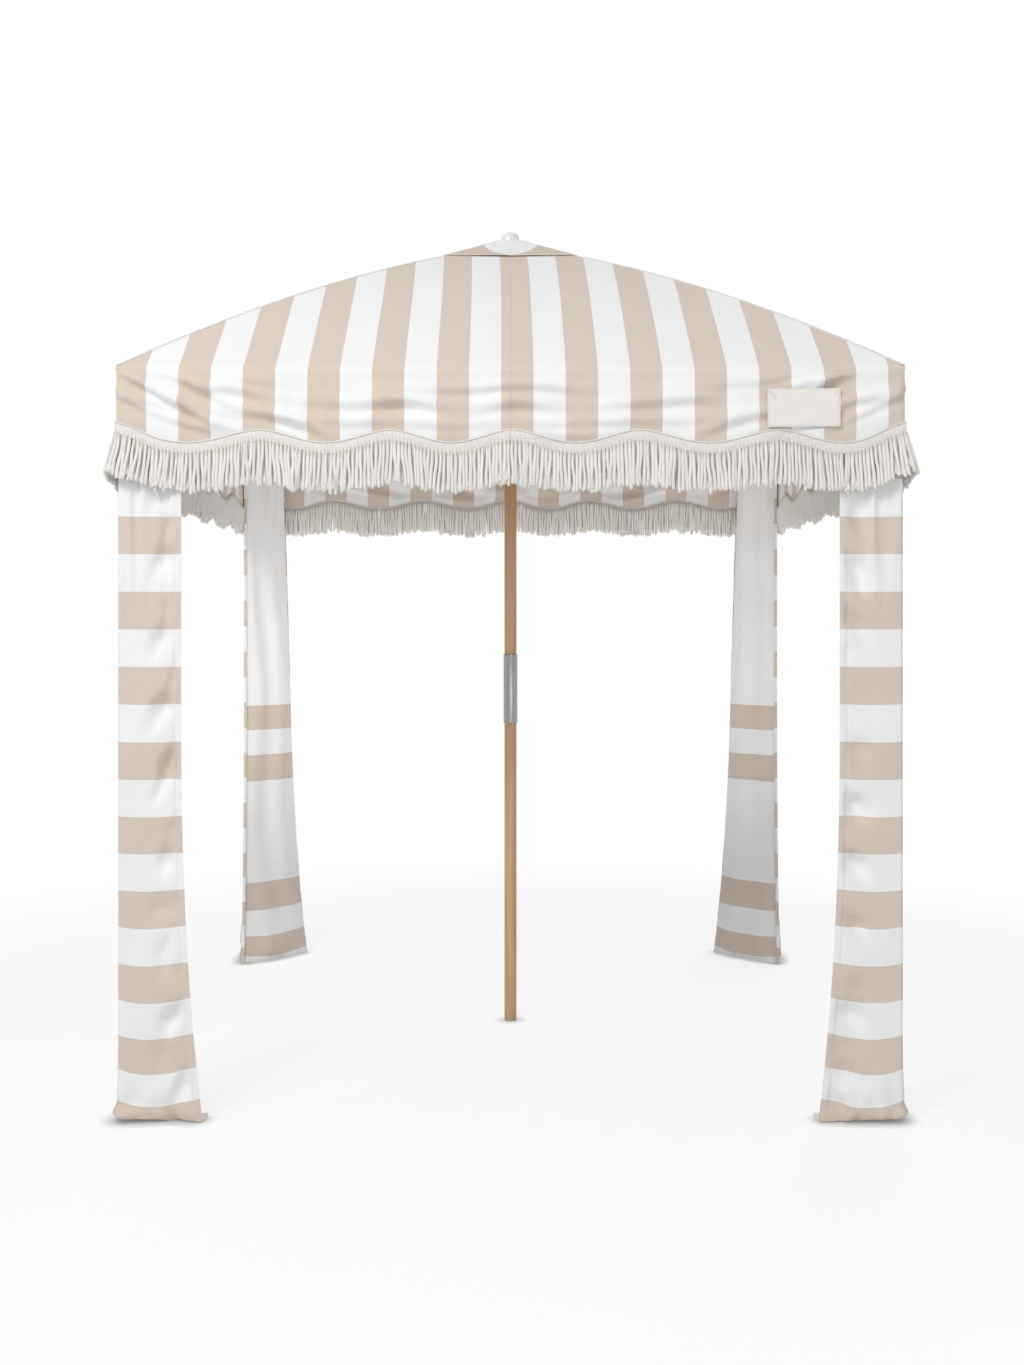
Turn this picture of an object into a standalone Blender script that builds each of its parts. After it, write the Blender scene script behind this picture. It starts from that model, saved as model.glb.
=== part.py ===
# Beach tent: a square cloth canopy on a pole in two lengths, with four cloth legs
# Metres, +Z up, origin on the ground under the pole, the front faces -Y

import math

import bmesh
import bpy
from mathutils import Matrix, Vector

# Clearance between pieces that touch, and the overrun of every cut
GAP = 0.0003
OVERRUN = 0.002

# Canopy
HALF_SIDE = 0.900
EAVE_HEIGHT = 1.727
ROOF_RISE = 0.493
ROOF_BOW = 0.168
ROOF_CLOTH = 0.0035
VENT_HALF = 0.120
CAP_HALF = 0.183
CAP_STEEPER_SHARE = 0.0679
CAP_CLOTH = 0.003
CAP_HOLE_HALF = 0.032
PATCH_RADIUS = 0.072
PATCH_CLOTH = 0.0018
PATCH_HOLE_RADIUS = 0.0044
ROOF_ROWS = 9

# Valance, braid and fringe
VALANCE_CLOTH = 0.003
TRIM_DROP = 0.146
TRIM_CORNER_LIFT = 0.018
TRIM_CORNER_REACH = 0.150
SCALLOP_DEPTH = 0.029
SCALLOPS_PER_WING = 3
COLUMNS_PER_SCALLOP = 4
BRAID_HEIGHT = 0.027
BRAID_THICKNESS = 0.003
BRAID_GAP = 0.0006
FRINGE_DROP = 0.088
FRINGE_THICKNESS = 0.005
FRINGE_FLARE = 0.012
FRINGE_CORNER_FLARE = 0.015
FRINGE_FLARE_REACH = 0.120
RIPPLE_DEPTH = 0.005
RIPPLE_START = 0.340
RIPPLES_PER_WING = 3
VALANCE_ROWS = 3

# Label patch
LABEL_WIDTH = 0.166
LABEL_HEIGHT = 0.087
LABEL_THICKNESS = 0.0015
LABEL_FROM_CORNER = 0.233
LABEL_BELOW_EAVE = 0.098

# Legs
LEG_TOP_DROP = 0.027
LEG_WIDTH = 0.145
LEG_FLARE = 0.049
LEG_FLARE_HEIGHT = 0.950
LEG_FLARE_POWER = 2.4
LEG_CLOTH = 0.003
LINING_CLOTH = 0.0025
LEG_FOLD_DEPTH = 0.006
LEG_FOLD_PITCH = 0.380
LINING_BULGE = 0.009
LEG_ROWS = 15
LEG_COLUMN_SHARES = (0.0, 0.3, 0.6, 0.88, 1.0)
LEG_FOLD_END_SHARE = 0.88

# Corner block with the socket of the rib's ball end
BLOCK_SIDE = 0.050
BLOCK_CHAMFER = 0.014
BLOCK_ROOF_GAP = 0.0010
SOCKET_RADIUS = 0.0085
SOCKET_WALL = 0.0030
SOCKET_RIM_DROP = 0.0058

# Ribs
RIB_RADIUS = 0.0055
RIB_TONGUE_WIDTH = 0.006
RIB_TONGUE_HEIGHT = 0.012
RIB_TONGUE_BACK = 0.007
RIB_TONGUE_LENGTH = 0.030
RIB_TUBE_START = 0.085
RIB_DIP_POWER = 8
RIB_STATIONS = 9
TIP_RADIUS = 0.008
TIP_INSET = 0.0478
TIP_SLEEVE_RADIUS = 0.0075
TIP_SLEEVE_BORE = 0.0058
TIP_SLEEVE_LENGTH = 0.030
TIP_STRAIGHT = 0.045
HUB_PIN_REACH = 0.040
HUB_PIN_DROP = 0.0366
STRUT_JOINT_REACH = 0.500
STRUT_JOINT_DROP = 0.0135
BRACKET_HALF_LENGTH = 0.009
BRACKET_WALL = 0.0025
BRACKET_FOOT = 0.007

# Struts, pins and rivets
STRUT_WIDTH = 0.006
STRUT_EYE_RADIUS = 0.0054
STRUT_RADIUS = 0.0045
STRUT_FLAT = 0.014
STRUT_NECK = 0.026
PIN_RADIUS = 0.0018
PIN_BORE = 0.0021
HUB_PIN_HALF_LENGTH = 0.030
RIVET_HEAD_RADIUS = 0.0033
RIVET_HEAD_HEIGHT = 0.0015

# Pole, ferrule, hub, runner and catch
POLE_RADIUS = 0.0175
POLE_JOINT_HEIGHT = 0.9497
POLE_TOP_DROP = 0.052
FERRULE_BELOW_JOINT = 0.0987
FERRULE_ABOVE_JOINT = 0.0983
FERRULE_BORE = 0.0178
FERRULE_RADIUS = 0.020
FERRULE_PIN_RISE = 0.030
FERRULE_PIN_RADIUS = 0.0022
FERRULE_PIN_BORE = 0.0025
HUB_RADIUS = 0.052
HUB_BORE = 0.0178
HUB_COLLAR_RADIUS = 0.024
HUB_COLLAR_HEIGHT = 0.050
HUB_DISC_HEIGHT = 0.034
HUB_DISC_DROP = 0.0216
HUB_NECK_RADIUS = 0.027
SLOT_WIDTH = 0.0066
SLOT_START = 0.027
SLOT_TOP_DROP = 0.0190
FINIAL_RADIUS = 0.0285
FINIAL_BOLT_RADIUS = 0.0040
FINIAL_BOLT_BORE = 0.0043
FINIAL_BOLT_LENGTH = 0.090
FINIAL_BOLT_END_GAP = 0.003
RUNNER_BORE = 0.0182
RUNNER_RADIUS = 0.0235
RUNNER_FLANGE_RADIUS = 0.0280
RUNNER_FLANGE_HEIGHT = 0.007
RUNNER_BELOW_PIN = 0.026
RUNNER_ABOVE_PIN = 0.018
LUG_THICKNESS = 0.005
LUG_HALF_HEIGHT = 0.008
LUG_PAST_PIN = 0.007
CATCH_RADIUS = 0.0052
CATCH_BORE = 0.0055
CATCH_OUT = 0.0060
CATCH_INNER_REACH = 0.0080
CATCH_POCKET_PAST_AXIS = 0.0080
SPRING_RADIUS = 0.0033
SPRING_WIRE_RADIUS = 0.0005
SPRING_TURNS = 5
SPRING_POINTS_PER_TURN = 8

# Sides of the turned pieces
POLE_SIDES = 32
SMALL_SIDES = 12
TUBE_SIDES = 8
ARC_STEPS = 5

CORNERS = (
    ("front_right", math.radians(-45)),
    ("back_right", math.radians(45)),
    ("back_left", math.radians(135)),
    ("front_left", math.radians(-135)),
)

# Places worked out from the sizes


def roof_height(reach):
    """Outer roof surface at a distance from the axis square to the nearest eave."""
    share = 1 - reach / HALF_SIDE
    return EAVE_HEIGHT + (ROOF_RISE + ROOF_BOW) * share - ROOF_BOW * share**2


def roof_slope(reach):
    """How steeply the roof falls at a distance from the axis."""
    share = 1 - reach / HALF_SIDE
    return (ROOF_RISE + ROOF_BOW - 2 * ROOF_BOW * share) / HALF_SIDE


def roof_stretch(reach):
    """Length along the roof's slope for each unit of level length."""
    return math.hypot(1, roof_slope(reach))


def cap_height(reach):
    """Outer surface of the vent cap, a little steeper than the roof that its hem lies on."""
    hem = roof_height(CAP_HALF) + GAP + CAP_CLOTH
    return hem + (roof_slope(CAP_HALF) + CAP_STEEPER_SHARE) * (CAP_HALF - reach)


def under_ridge(diagonal, radius):
    """Height of the centre of a round piece that lies under the ridge."""
    reach = diagonal / math.sqrt(2)
    return roof_height(reach) - ROOF_CLOTH - (radius + GAP) * roof_stretch(reach)


def trim_height(along):
    """Top edge of the braid at a distance from the canopy's corner."""
    wave = abs(math.sin(math.pi * along * SCALLOPS_PER_WING / HALF_SIDE))
    lift = TRIM_CORNER_LIFT * max(0, 1 - along / TRIM_CORNER_REACH)
    return EAVE_HEIGHT - TRIM_DROP - SCALLOP_DEPTH * wave + lift


def ripple(along, height):
    """How far the valance stands out from its flat plane."""
    if along <= RIPPLE_START:
        return 0
    share = (along - RIPPLE_START) / (HALF_SIDE - RIPPLE_START)
    down = (EAVE_HEIGHT - height) / TRIM_DROP
    return RIPPLE_DEPTH * down * math.sin(math.pi * RIPPLES_PER_WING * share) ** 2


def leg_width(height):
    """Width of a leg's outer faces, which flare towards the foot."""
    share = max(0, 1 - height / LEG_FLARE_HEIGHT)
    return LEG_WIDTH + LEG_FLARE * share**LEG_FLARE_POWER


FERRULE_BOTTOM = POLE_JOINT_HEIGHT - FERRULE_BELOW_JOINT
FERRULE_TOP = POLE_JOINT_HEIGHT + FERRULE_ABOVE_JOINT
HUB_TOP = cap_height(CAP_HOLE_HALF)
HUB_DISC_TOP = HUB_TOP - HUB_DISC_DROP
HUB_DISC_BOTTOM = HUB_DISC_TOP - HUB_DISC_HEIGHT
HUB_BOTTOM = HUB_DISC_BOTTOM - HUB_COLLAR_HEIGHT
POLE_TOP = HUB_TOP - POLE_TOP_DROP
HINGE = Vector((HUB_PIN_REACH, 0, HUB_TOP - HUB_PIN_DROP))
TIP_REACH = HALF_SIDE * math.sqrt(2) - TIP_INSET
TIP = Vector((TIP_REACH, 0, under_ridge(TIP_REACH, TIP_RADIUS)))
STRUT_JOINT_HEIGHT = under_ridge(STRUT_JOINT_REACH, RIB_RADIUS) - STRUT_JOINT_DROP
STRUT_JOINT = Vector((STRUT_JOINT_REACH, 0, STRUT_JOINT_HEIGHT))
RUNNER_PIN = Vector((HUB_PIN_REACH, 0, 2 * STRUT_JOINT.z - HINGE.z))
RUNNER_BOTTOM = RUNNER_PIN.z - RUNNER_BELOW_PIN
RUNNER_TOP = RUNNER_PIN.z + RUNNER_ABOVE_PIN
CATCH_HEIGHT = RUNNER_BOTTOM - GAP - CATCH_RADIUS
CATCH_FACE = Vector((0, -POLE_RADIUS - CATCH_OUT, CATCH_HEIGHT))
PATCH_TOP = HUB_TOP + GAP + PATCH_CLOTH
FINIAL_BASE = PATCH_TOP + GAP
VALANCE_TOP = EAVE_HEIGHT - ROOF_CLOTH - GAP
VALANCE_INSIDE = HALF_SIDE - VALANCE_CLOTH
LEG_OUTSIDE = VALANCE_INSIDE - GAP
LEG_TOP = EAVE_HEIGHT - LEG_TOP_DROP
BLOCK_TOP = EAVE_HEIGHT - ROOF_CLOTH - BLOCK_ROOF_GAP
EAR_INSIDE = STRUT_WIDTH / 2 + GAP
EAR_OUTSIDE = EAR_INSIDE + BRACKET_WALL


# Helpers that make meshes


def to_mesh(name, shape, smooth=False):
    """Point a closed shape's faces outwards and turn it into a mesh."""
    bmesh.ops.recalc_face_normals(shape, faces=shape.faces[:])
    if shape.calc_volume(signed=True) < 0:
        bmesh.ops.reverse_faces(shape, faces=shape.faces[:])
    mesh = bpy.data.meshes.new(name)
    shape.to_mesh(mesh)
    shape.free()
    if smooth:
        mesh.shade_smooth()
        mesh.set_sharp_from_angle(angle=math.radians(35))
    return mesh


def turned(name, profile, sides, centre=(0, 0, 0), turn=None):
    """Turn a profile of (radius, height) points round Z, then aim and place it."""
    shape = bmesh.new()
    points = [shape.verts.new((radius, 0, height)) for radius, height in profile]
    pairs = list(zip(points, points[1:]))
    if profile[0][0] > 0:
        pairs.append((points[-1], points[0]))
    edges = [shape.edges.new(pair) for pair in pairs]
    bmesh.ops.spin(
        shape,
        geom=points + edges,
        cent=(0, 0, 0),
        axis=(0, 0, 1),
        angle=math.tau,
        steps=sides,
        use_merge=True,
    )
    bmesh.ops.remove_doubles(shape, verts=shape.verts[:], dist=GAP / 100)
    if turn is not None:
        shape.transform(turn)
    shape.transform(Matrix.Translation(centre))
    return to_mesh(name, shape, smooth=True)


def rod(name, radius, start, end, sides=SMALL_SIDES):
    """A plain round bar from one point to another."""
    start, end = Vector(start), Vector(end)
    aim = (end - start).to_track_quat("Z", "Y").to_matrix().to_4x4()
    long = (end - start).length
    profile = [(0, 0), (radius, 0), (radius, long), (0, long)]
    return turned(name, profile, sides, start, aim)


def block(name, low, high):
    """A box between two corners."""
    low, high = Vector(low), Vector(high)
    shape = bmesh.new()
    bmesh.ops.create_cube(shape, size=1)
    size = high - low
    shape.transform(Matrix.Translation((low + high) / 2) @ Matrix.Diagonal(size.to_4d()))
    return to_mesh(name, shape)


def prism(name, outline, low, high):
    """An outline in the ground plane, raised between two heights."""
    shape = bmesh.new()
    base = shape.faces.new([shape.verts.new((x, y, low)) for x, y in outline])
    raised = bmesh.ops.extrude_face_region(shape, geom=[base])
    tops = [item for item in raised["geom"] if isinstance(item, bmesh.types.BMVert)]
    bmesh.ops.translate(shape, verts=tops, vec=(0, 0, high - low))
    return to_mesh(name, shape)


def lofted(name, rings):
    """A closed bar through rings of points."""
    shape = bmesh.new()
    loops = [[shape.verts.new(point) for point in ring] for ring in rings]
    for near, far in zip(loops, loops[1:]):
        for side in range(len(near)):
            after = (side + 1) % len(near)
            shape.faces.new((near[side], near[after], far[after], far[side]))
    shape.faces.new(loops[0])
    shape.faces.new(loops[-1])
    return to_mesh(name, shape, smooth=True)


def ring_at(centre, slope, half_width, half_height):
    """Eight points round a bar that runs in the plane of Y = 0."""
    spread = 1 / math.cos(math.pi / TUBE_SIDES)
    up = Vector((-math.sin(slope), 0, math.cos(slope)))
    points = []
    for side in range(TUBE_SIDES):
        angle = math.tau * (side + 1 / 2) / TUBE_SIDES
        across = Vector((0, half_width * spread * math.cos(angle), 0))
        points.append(centre + across + up * half_height * spread * math.sin(angle))
    return points


def slab(shape, outer, inner):
    """A thin closed sheet between two grids of points with the same rows and columns."""
    faces = []
    for grid in (outer, inner):
        faces.append([[shape.verts.new(point) for point in row] for row in grid])
    front, back = faces
    rows, columns = len(front), len(front[0])
    for grid in (front, back):
        for row in range(rows - 1):
            for column in range(columns - 1):
                corners = (grid[row][column], grid[row][column + 1])
                above = (grid[row + 1][column + 1], grid[row + 1][column])
                shape.faces.new(corners + above)
    for row in range(rows - 1):
        for column in (0, columns - 1):
            one, two = front[row][column], front[row + 1][column]
            shape.faces.new((one, two, back[row + 1][column], back[row][column]))
    for column in range(columns - 1):
        for row in (0, rows - 1):
            one, two = front[row][column], front[row][column + 1]
            shape.faces.new((one, two, back[row][column + 1], back[row][column]))


def carved(name, base, added=(), removed=()):
    """Join meshes to a base and cut others out of it, as one closed mesh."""
    scene = bpy.context.scene
    holder = bpy.data.objects.new(name + "_rough", base)
    scene.collection.objects.link(holder)
    helpers = []
    for operation, meshes in (("UNION", added), ("DIFFERENCE", removed)):
        for mesh in meshes:
            helper = bpy.data.objects.new(name + "_helper", mesh)
            helper.hide_render = True
            helper.display_type = "WIRE"
            scene.collection.objects.link(helper)
            modifier = holder.modifiers.new(operation.title(), "BOOLEAN")
            modifier.operation = operation
            modifier.solver = "EXACT"
            modifier.object = helper
            helpers.append(helper)
    finished = holder.evaluated_get(bpy.context.evaluated_depsgraph_get())
    mesh = bpy.data.meshes.new_from_object(finished)
    mesh.name = name
    for spare in [holder] + helpers:
        bpy.data.objects.remove(spare)
    return mesh


def onto_diagonal(mesh):
    """Turn a piece drawn in the +X +Y quarter so that the corner's diagonal is +X."""
    mesh.transform(Matrix.Rotation(math.radians(-45), 4, "Z"))
    return mesh


def material(name, colour, roughness, metallic=0.0):
    """One surface, seen in the photograph or usual for the piece."""
    surface = bpy.data.materials.new(name)
    surface.use_nodes = True
    shader = surface.node_tree.nodes["Principled BSDF"]
    shader.inputs["Base Color"].default_value = (*colour, 1)
    shader.inputs["Roughness"].default_value = roughness
    shader.inputs["Metallic"].default_value = metallic
    return surface


# Helpers that place pieces


def pivot(name, place, parent=None, turn=0.0):
    """An empty on a joint's axis, which carries the pieces that move on it."""
    empty = bpy.data.objects.new(name, None)
    bpy.context.scene.collection.objects.link(empty)
    empty.parent = parent
    empty.location = place
    empty.rotation_euler.z = turn
    return empty


def piece(name, mesh, surface, carrier, origin=(0, 0, 0)):
    """One sub-part, drawn about the tent's axis and hung on its carrier."""
    item = bpy.data.objects.new(name, mesh)
    bpy.context.scene.collection.objects.link(item)
    item.parent = carrier
    item.location = -Vector(origin)
    if not mesh.materials:
        mesh.materials.append(surface)
    return item


# Cloth of the canopy


def quarter_rows(reaches, height, cloth):
    """Rows of a roof quarter from seam to ridge to seam, outer and inner side."""
    seam = GAP / 2
    outer, inner = [], []
    for reach in reaches:
        places = ((reach, seam), (reach, reach), (seam, reach))
        top = height(reach)
        outer.append([Vector((x, y, top)) for x, y in places])
        inner.append([Vector((x, y, top - cloth)) for x, y in places])
    return outer, inner


def roof_quarter():
    """A quarter of the roof cloth, which ends at the vent under the cap."""
    step = (HALF_SIDE - VENT_HALF) / ROOF_ROWS
    reaches = [VENT_HALF + step * row for row in range(ROOF_ROWS + 1)]
    shape = bmesh.new()
    slab(shape, *quarter_rows(reaches, roof_height, ROOF_CLOTH))
    return onto_diagonal(to_mesh("roof", shape))


def cap_quarter():
    """A quarter of the vent cap, whose hem lies on the roof."""
    shape = bmesh.new()
    slab(shape, *quarter_rows((CAP_HOLE_HALF, CAP_HALF), cap_height, CAP_CLOTH))
    return onto_diagonal(to_mesh("vent_cap", shape))


def crown_patch():
    """A round patch that lies flat on the hub and then follows the cap's slopes."""
    shape = bmesh.new()
    outer, inner = [], []
    for ring, radius in enumerate((PATCH_HOLE_RADIUS, CAP_HOLE_HALF, PATCH_RADIUS)):
        top, bottom = [], []
        for side in range(2 * TUBE_SIDES):
            angle = math.pi * side / TUBE_SIDES
            x, y = radius * math.cos(angle), radius * math.sin(angle)
            if ring == 1:
                onto_square = radius / max(abs(x), abs(y))
                x, y = x * onto_square, y * onto_square
            reach = max(abs(x), abs(y), CAP_HOLE_HALF)
            height = cap_height(reach) + GAP
            bottom.append(Vector((x, y, height)))
            top.append(Vector((x, y, height + PATCH_CLOTH)))
        outer.append(top)
        inner.append(bottom)
    loops = [[shape.verts.new(p) for p in row] for row in outer + inner[::-1]]
    for near, far in zip(loops, loops[1:] + loops[:1]):
        for side in range(len(near)):
            after = (side + 1) % len(near)
            shape.faces.new((near[side], near[after], far[after], far[side]))
    return to_mesh("crown_patch", shape)


def wing_stations():
    """Distances from the corner to the seam, four for each scallop."""
    count = SCALLOPS_PER_WING * COLUMNS_PER_SCALLOP
    return [HALF_SIDE * step / count for step in range(count + 1)]


def round_corner(out_of_plane, row_height, inset):
    """A row of points round a corner, from seam to seam, at a set distance inside."""
    face = HALF_SIDE - inset
    stations = wing_stations()
    first, second = [], []
    for along in stations[1:]:
        share = 1 - along / HALF_SIDE
        beside = max(face * share, GAP / 2)
        height = row_height(along)
        out = face + out_of_plane(along, height)
        first.append(Vector((out, beside, height)))
        second.append(Vector((beside, out, height)))
    height = row_height(0)
    corner = face + out_of_plane(0, height)
    return first[::-1] + [Vector((corner, corner, height))] + second


def valance_quarter():
    """A quarter of the valance, with its ripples and scalloped lower edge."""
    outer, inner = [], []
    for row in range(VALANCE_ROWS + 1):
        share = row / VALANCE_ROWS

        def row_height(along, share=share):
            bottom = trim_height(along) - BRAID_HEIGHT / 2
            return VALANCE_TOP + (bottom - VALANCE_TOP) * share

        outer.append(round_corner(ripple, row_height, 0))
        inner.append(round_corner(ripple, row_height, VALANCE_CLOTH))
    shape = bmesh.new()
    slab(shape, outer, inner)
    return onto_diagonal(to_mesh("valance", shape))


def fringe_quarter():
    """A quarter of the braid and the fringe that hangs from it, flared outwards."""

    def braid_top(along):
        return trim_height(along)

    def braid_bottom(along):
        return trim_height(along) - BRAID_HEIGHT

    def tips(along):
        return trim_height(along) - BRAID_HEIGHT - FRINGE_DROP

    def flared(along, height):
        near = max(0, 1 - along / FRINGE_FLARE_REACH)
        out = FRINGE_FLARE + FRINGE_CORNER_FLARE * near
        return ripple(along, braid_bottom(along)) + out

    rows = (
        (braid_top, ripple, BRAID_THICKNESS),
        (braid_bottom, ripple, BRAID_THICKNESS),
        (tips, flared, FRINGE_THICKNESS),
    )
    outer, inner = [], []
    for row_height, out_of_plane, thickness in rows:
        outer.append(round_corner(out_of_plane, row_height, -BRAID_GAP - thickness))
        inner.append(round_corner(out_of_plane, row_height, -BRAID_GAP))
    shape = bmesh.new()
    slab(shape, outer, inner)
    return onto_diagonal(to_mesh("fringe", shape))


def label_patch():
    """The bare patch sewn on the front valance."""
    side = HALF_SIDE - LABEL_FROM_CORNER - LABEL_WIDTH / 2
    face = -HALF_SIDE - GAP
    bottom = EAVE_HEIGHT - LABEL_BELOW_EAVE - LABEL_HEIGHT / 2
    low = (side, face - LABEL_THICKNESS, bottom)
    high = (side + LABEL_WIDTH, face, bottom + LABEL_HEIGHT)
    return block("label", low, high)


# Cloth of a leg


def leg_fold(share, height):
    """How far a leg's outer cloth is drawn in by its soft folds."""
    wave = (1 + math.cos(math.tau * height / LEG_FOLD_PITCH)) / 2
    return LEG_FOLD_DEPTH * wave * math.sin(math.pi * min(1, share / LEG_FOLD_END_SHARE))


def leg_heights():
    """Rows of a leg: the ground, the top of its bottom panel, then even steps."""
    start = LEG_CLOTH
    step = (LEG_TOP - start) / LEG_ROWS
    return [0] + [start + step * row for row in range(LEG_ROWS + 1)]


def leg_row(height, depth):
    """Points from one free edge round the outer corner to the other."""
    first, second = [], []
    for share in LEG_COLUMN_SHARES[1:]:
        along = depth + (leg_width(height) - depth) * share
        inside = LEG_OUTSIDE - depth - leg_fold(share, height)
        first.append(Vector((LEG_OUTSIDE - along, inside, height)))
        second.append(Vector((inside, LEG_OUTSIDE - along, height)))
    corner = LEG_OUTSIDE - depth
    return first[::-1] + [Vector((corner, corner, height))] + second


def leg_outer_panel():
    """The striped outer cloth of a leg, one piece with its bottom panel."""
    shape = bmesh.new()
    heights = leg_heights()
    outer = [[shape.verts.new(p) for p in leg_row(h, 0)] for h in heights]
    inner = [[shape.verts.new(p) for p in leg_row(h, LEG_CLOTH)] for h in heights[1:]]
    for grid in (outer, inner):
        for low, high in zip(grid, grid[1:]):
            for near in range(len(low) - 1):
                shape.faces.new((low[near], low[near + 1], high[near + 1], high[near]))
    for near in range(len(outer[0]) - 1):
        rim = (outer[-1][near], outer[-1][near + 1])
        shape.faces.new(rim + (inner[-1][near + 1], inner[-1][near]))
    for end in (0, -1):
        for row in range(len(inner) - 1):
            out = (outer[row + 1][end], outer[row + 2][end])
            shape.faces.new(out + (inner[row + 1][end], inner[row][end]))
        shape.faces.new((outer[0][end], outer[1][end], inner[0][end]))
    shape.faces.new(outer[0])
    shape.faces.new(inner[0])
    shape.faces.new((outer[0][0], inner[0][0], inner[0][-1], outer[0][-1]))
    return onto_diagonal(to_mesh("leg_outer", shape))


def leg_lining():
    """The white inner panel that closes a leg, full towards the middle of the tent."""
    shares = LEG_COLUMN_SHARES
    slant = LINING_CLOTH * math.sqrt(2)
    outer, inner = [], []
    for height in leg_heights()[1:]:
        height = max(height, LEG_CLOTH + GAP)
        width = leg_width(height)
        start = LEG_CLOTH + GAP
        room, back = [], []
        for share in shares:
            bulge = LINING_BULGE * math.sin(math.pi * share) * width / LEG_WIDTH
            along = start + (width - start) * share
            across = width + start - along
            room.append(
                Vector((LEG_OUTSIDE - along - bulge, LEG_OUTSIDE - across - bulge, height))
            )
            along = start + (width - slant - start) * share
            across = width - slant + start - along
            back.append(
                Vector((LEG_OUTSIDE - along - bulge, LEG_OUTSIDE - across - bulge, height))
            )
        outer.append(room)
        inner.append(back)
    shape = bmesh.new()
    slab(shape, outer, inner)
    return onto_diagonal(to_mesh("leg_lining", shape))


# Frame of a corner


def corner_block():
    """The moulded block in the canopy's corner, with a socket for the rib's ball end."""
    far = LEG_OUTSIDE
    near = far - BLOCK_SIDE
    outline = (
        (far, far),
        (near, far),
        (near, near + BLOCK_CHAMFER),
        (near + BLOCK_CHAMFER, near),
        (far, near),
    )
    base = onto_diagonal(prism("block", outline, LEG_TOP + GAP, BLOCK_TOP))
    rim = TIP.z - SOCKET_RIM_DROP
    middle = Vector((TIP.x, 0, (LEG_TOP + BLOCK_TOP) / 2))
    wall = SOCKET_RADIUS + SOCKET_WALL
    cup = rod("cup", wall, middle, (TIP.x, 0, rim))
    ball = ball_profile(SOCKET_RADIUS)
    socket = turned("socket", ball, SMALL_SIDES, TIP)
    return carved("corner_block", base, [cup], [socket])


def ball_profile(radius):
    """Half a circle from pole to pole."""
    steps = 2 * ARC_STEPS
    angles = [math.pi * step / steps for step in range(steps + 1)]
    points = [(radius * math.sin(a), -radius * math.cos(a)) for a in angles]
    points[0] = (0, -radius)
    points[-1] = (0, radius)
    return points


def rib_line():
    """Centre points of the rib's tube, from the hub's side to the end in its tip."""
    start, stop = RIB_TUBE_START, TIP.x - TIP_STRAIGHT
    points = []
    for step in range(RIB_STATIONS + 1):
        reach = start + (stop - start) * step / RIB_STATIONS
        dip = (TIP_RADIUS - RIB_RADIUS) * (reach / TIP.x) ** RIB_DIP_POWER
        points.append(Vector((reach, 0, under_ridge(reach, RIB_RADIUS + dip))))
    last = (TIP - points[-1]).normalized()
    points.append(TIP - last * (TIP_RADIUS + GAP))
    return points


def slope_of(start, end):
    return math.atan2(end.z - start.z, end.x - start.x)


def rib():
    """A bowed tube with a flat tongue at the hub and a bracket for its strut."""
    line = rib_line()
    flat = slope_of(HINGE, line[0])
    forward = (line[0] - HINGE).normalized()
    half_width, half_height = RIB_TONGUE_WIDTH / 2, RIB_TONGUE_HEIGHT / 2
    tube = RIB_RADIUS * math.cos(math.pi / TUBE_SIDES)
    back = HINGE - forward * RIB_TONGUE_BACK
    front = HINGE + forward * RIB_TONGUE_LENGTH
    rings = [ring_at(back, flat, half_width, half_height)]
    rings.append(ring_at(front, flat, half_width, half_height))
    for number, point in enumerate(line):
        before, after = line[max(number - 1, 0)], line[min(number + 1, len(line) - 1)]
        rings.append(ring_at(point, slope_of(before, after), tube, tube))
    top = under_ridge(STRUT_JOINT.x, RIB_RADIUS)
    bottom = STRUT_JOINT.z - BRACKET_FOOT
    ends = STRUT_JOINT.x - BRACKET_HALF_LENGTH, STRUT_JOINT.x + BRACKET_HALF_LENGTH
    ears = []
    for side in (-1, 1):
        faces = sorted((side * EAR_INSIDE, side * EAR_OUTSIDE))
        ears.append(block("ear", (ends[0], faces[0], bottom), (ends[1], faces[1], top)))
    reach = Vector((0, EAR_OUTSIDE + OVERRUN, 0))
    holes = [
        rod("eye", PIN_BORE, HINGE - reach, HINGE + reach),
        rod("eye", PIN_BORE, STRUT_JOINT - reach, STRUT_JOINT + reach),
    ]
    return carved("rib", lofted("rib", rings), ears, holes)


def rib_tip():
    """A ball end whose sleeve takes the end of the rib."""
    line = rib_line()
    forward = (TIP - line[-2]).normalized()
    profile = [(0, -TIP_RADIUS), (TIP_SLEEVE_BORE, -TIP_RADIUS)]
    profile.append((TIP_SLEEVE_BORE, -TIP_SLEEVE_LENGTH))
    profile.append((TIP_SLEEVE_RADIUS, -TIP_SLEEVE_LENGTH))
    start = math.acos(TIP_SLEEVE_RADIUS / TIP_RADIUS)
    for step in range(ARC_STEPS + 1):
        angle = -start + (start + math.pi / 2) * step / ARC_STEPS
        profile.append((TIP_RADIUS * math.cos(angle), TIP_RADIUS * math.sin(angle)))
    profile[-1] = (0, TIP_RADIUS)
    aim = forward.to_track_quat("Z", "Y").to_matrix().to_4x4()
    return turned("rib_tip", profile, SMALL_SIDES, TIP, aim)


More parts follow.
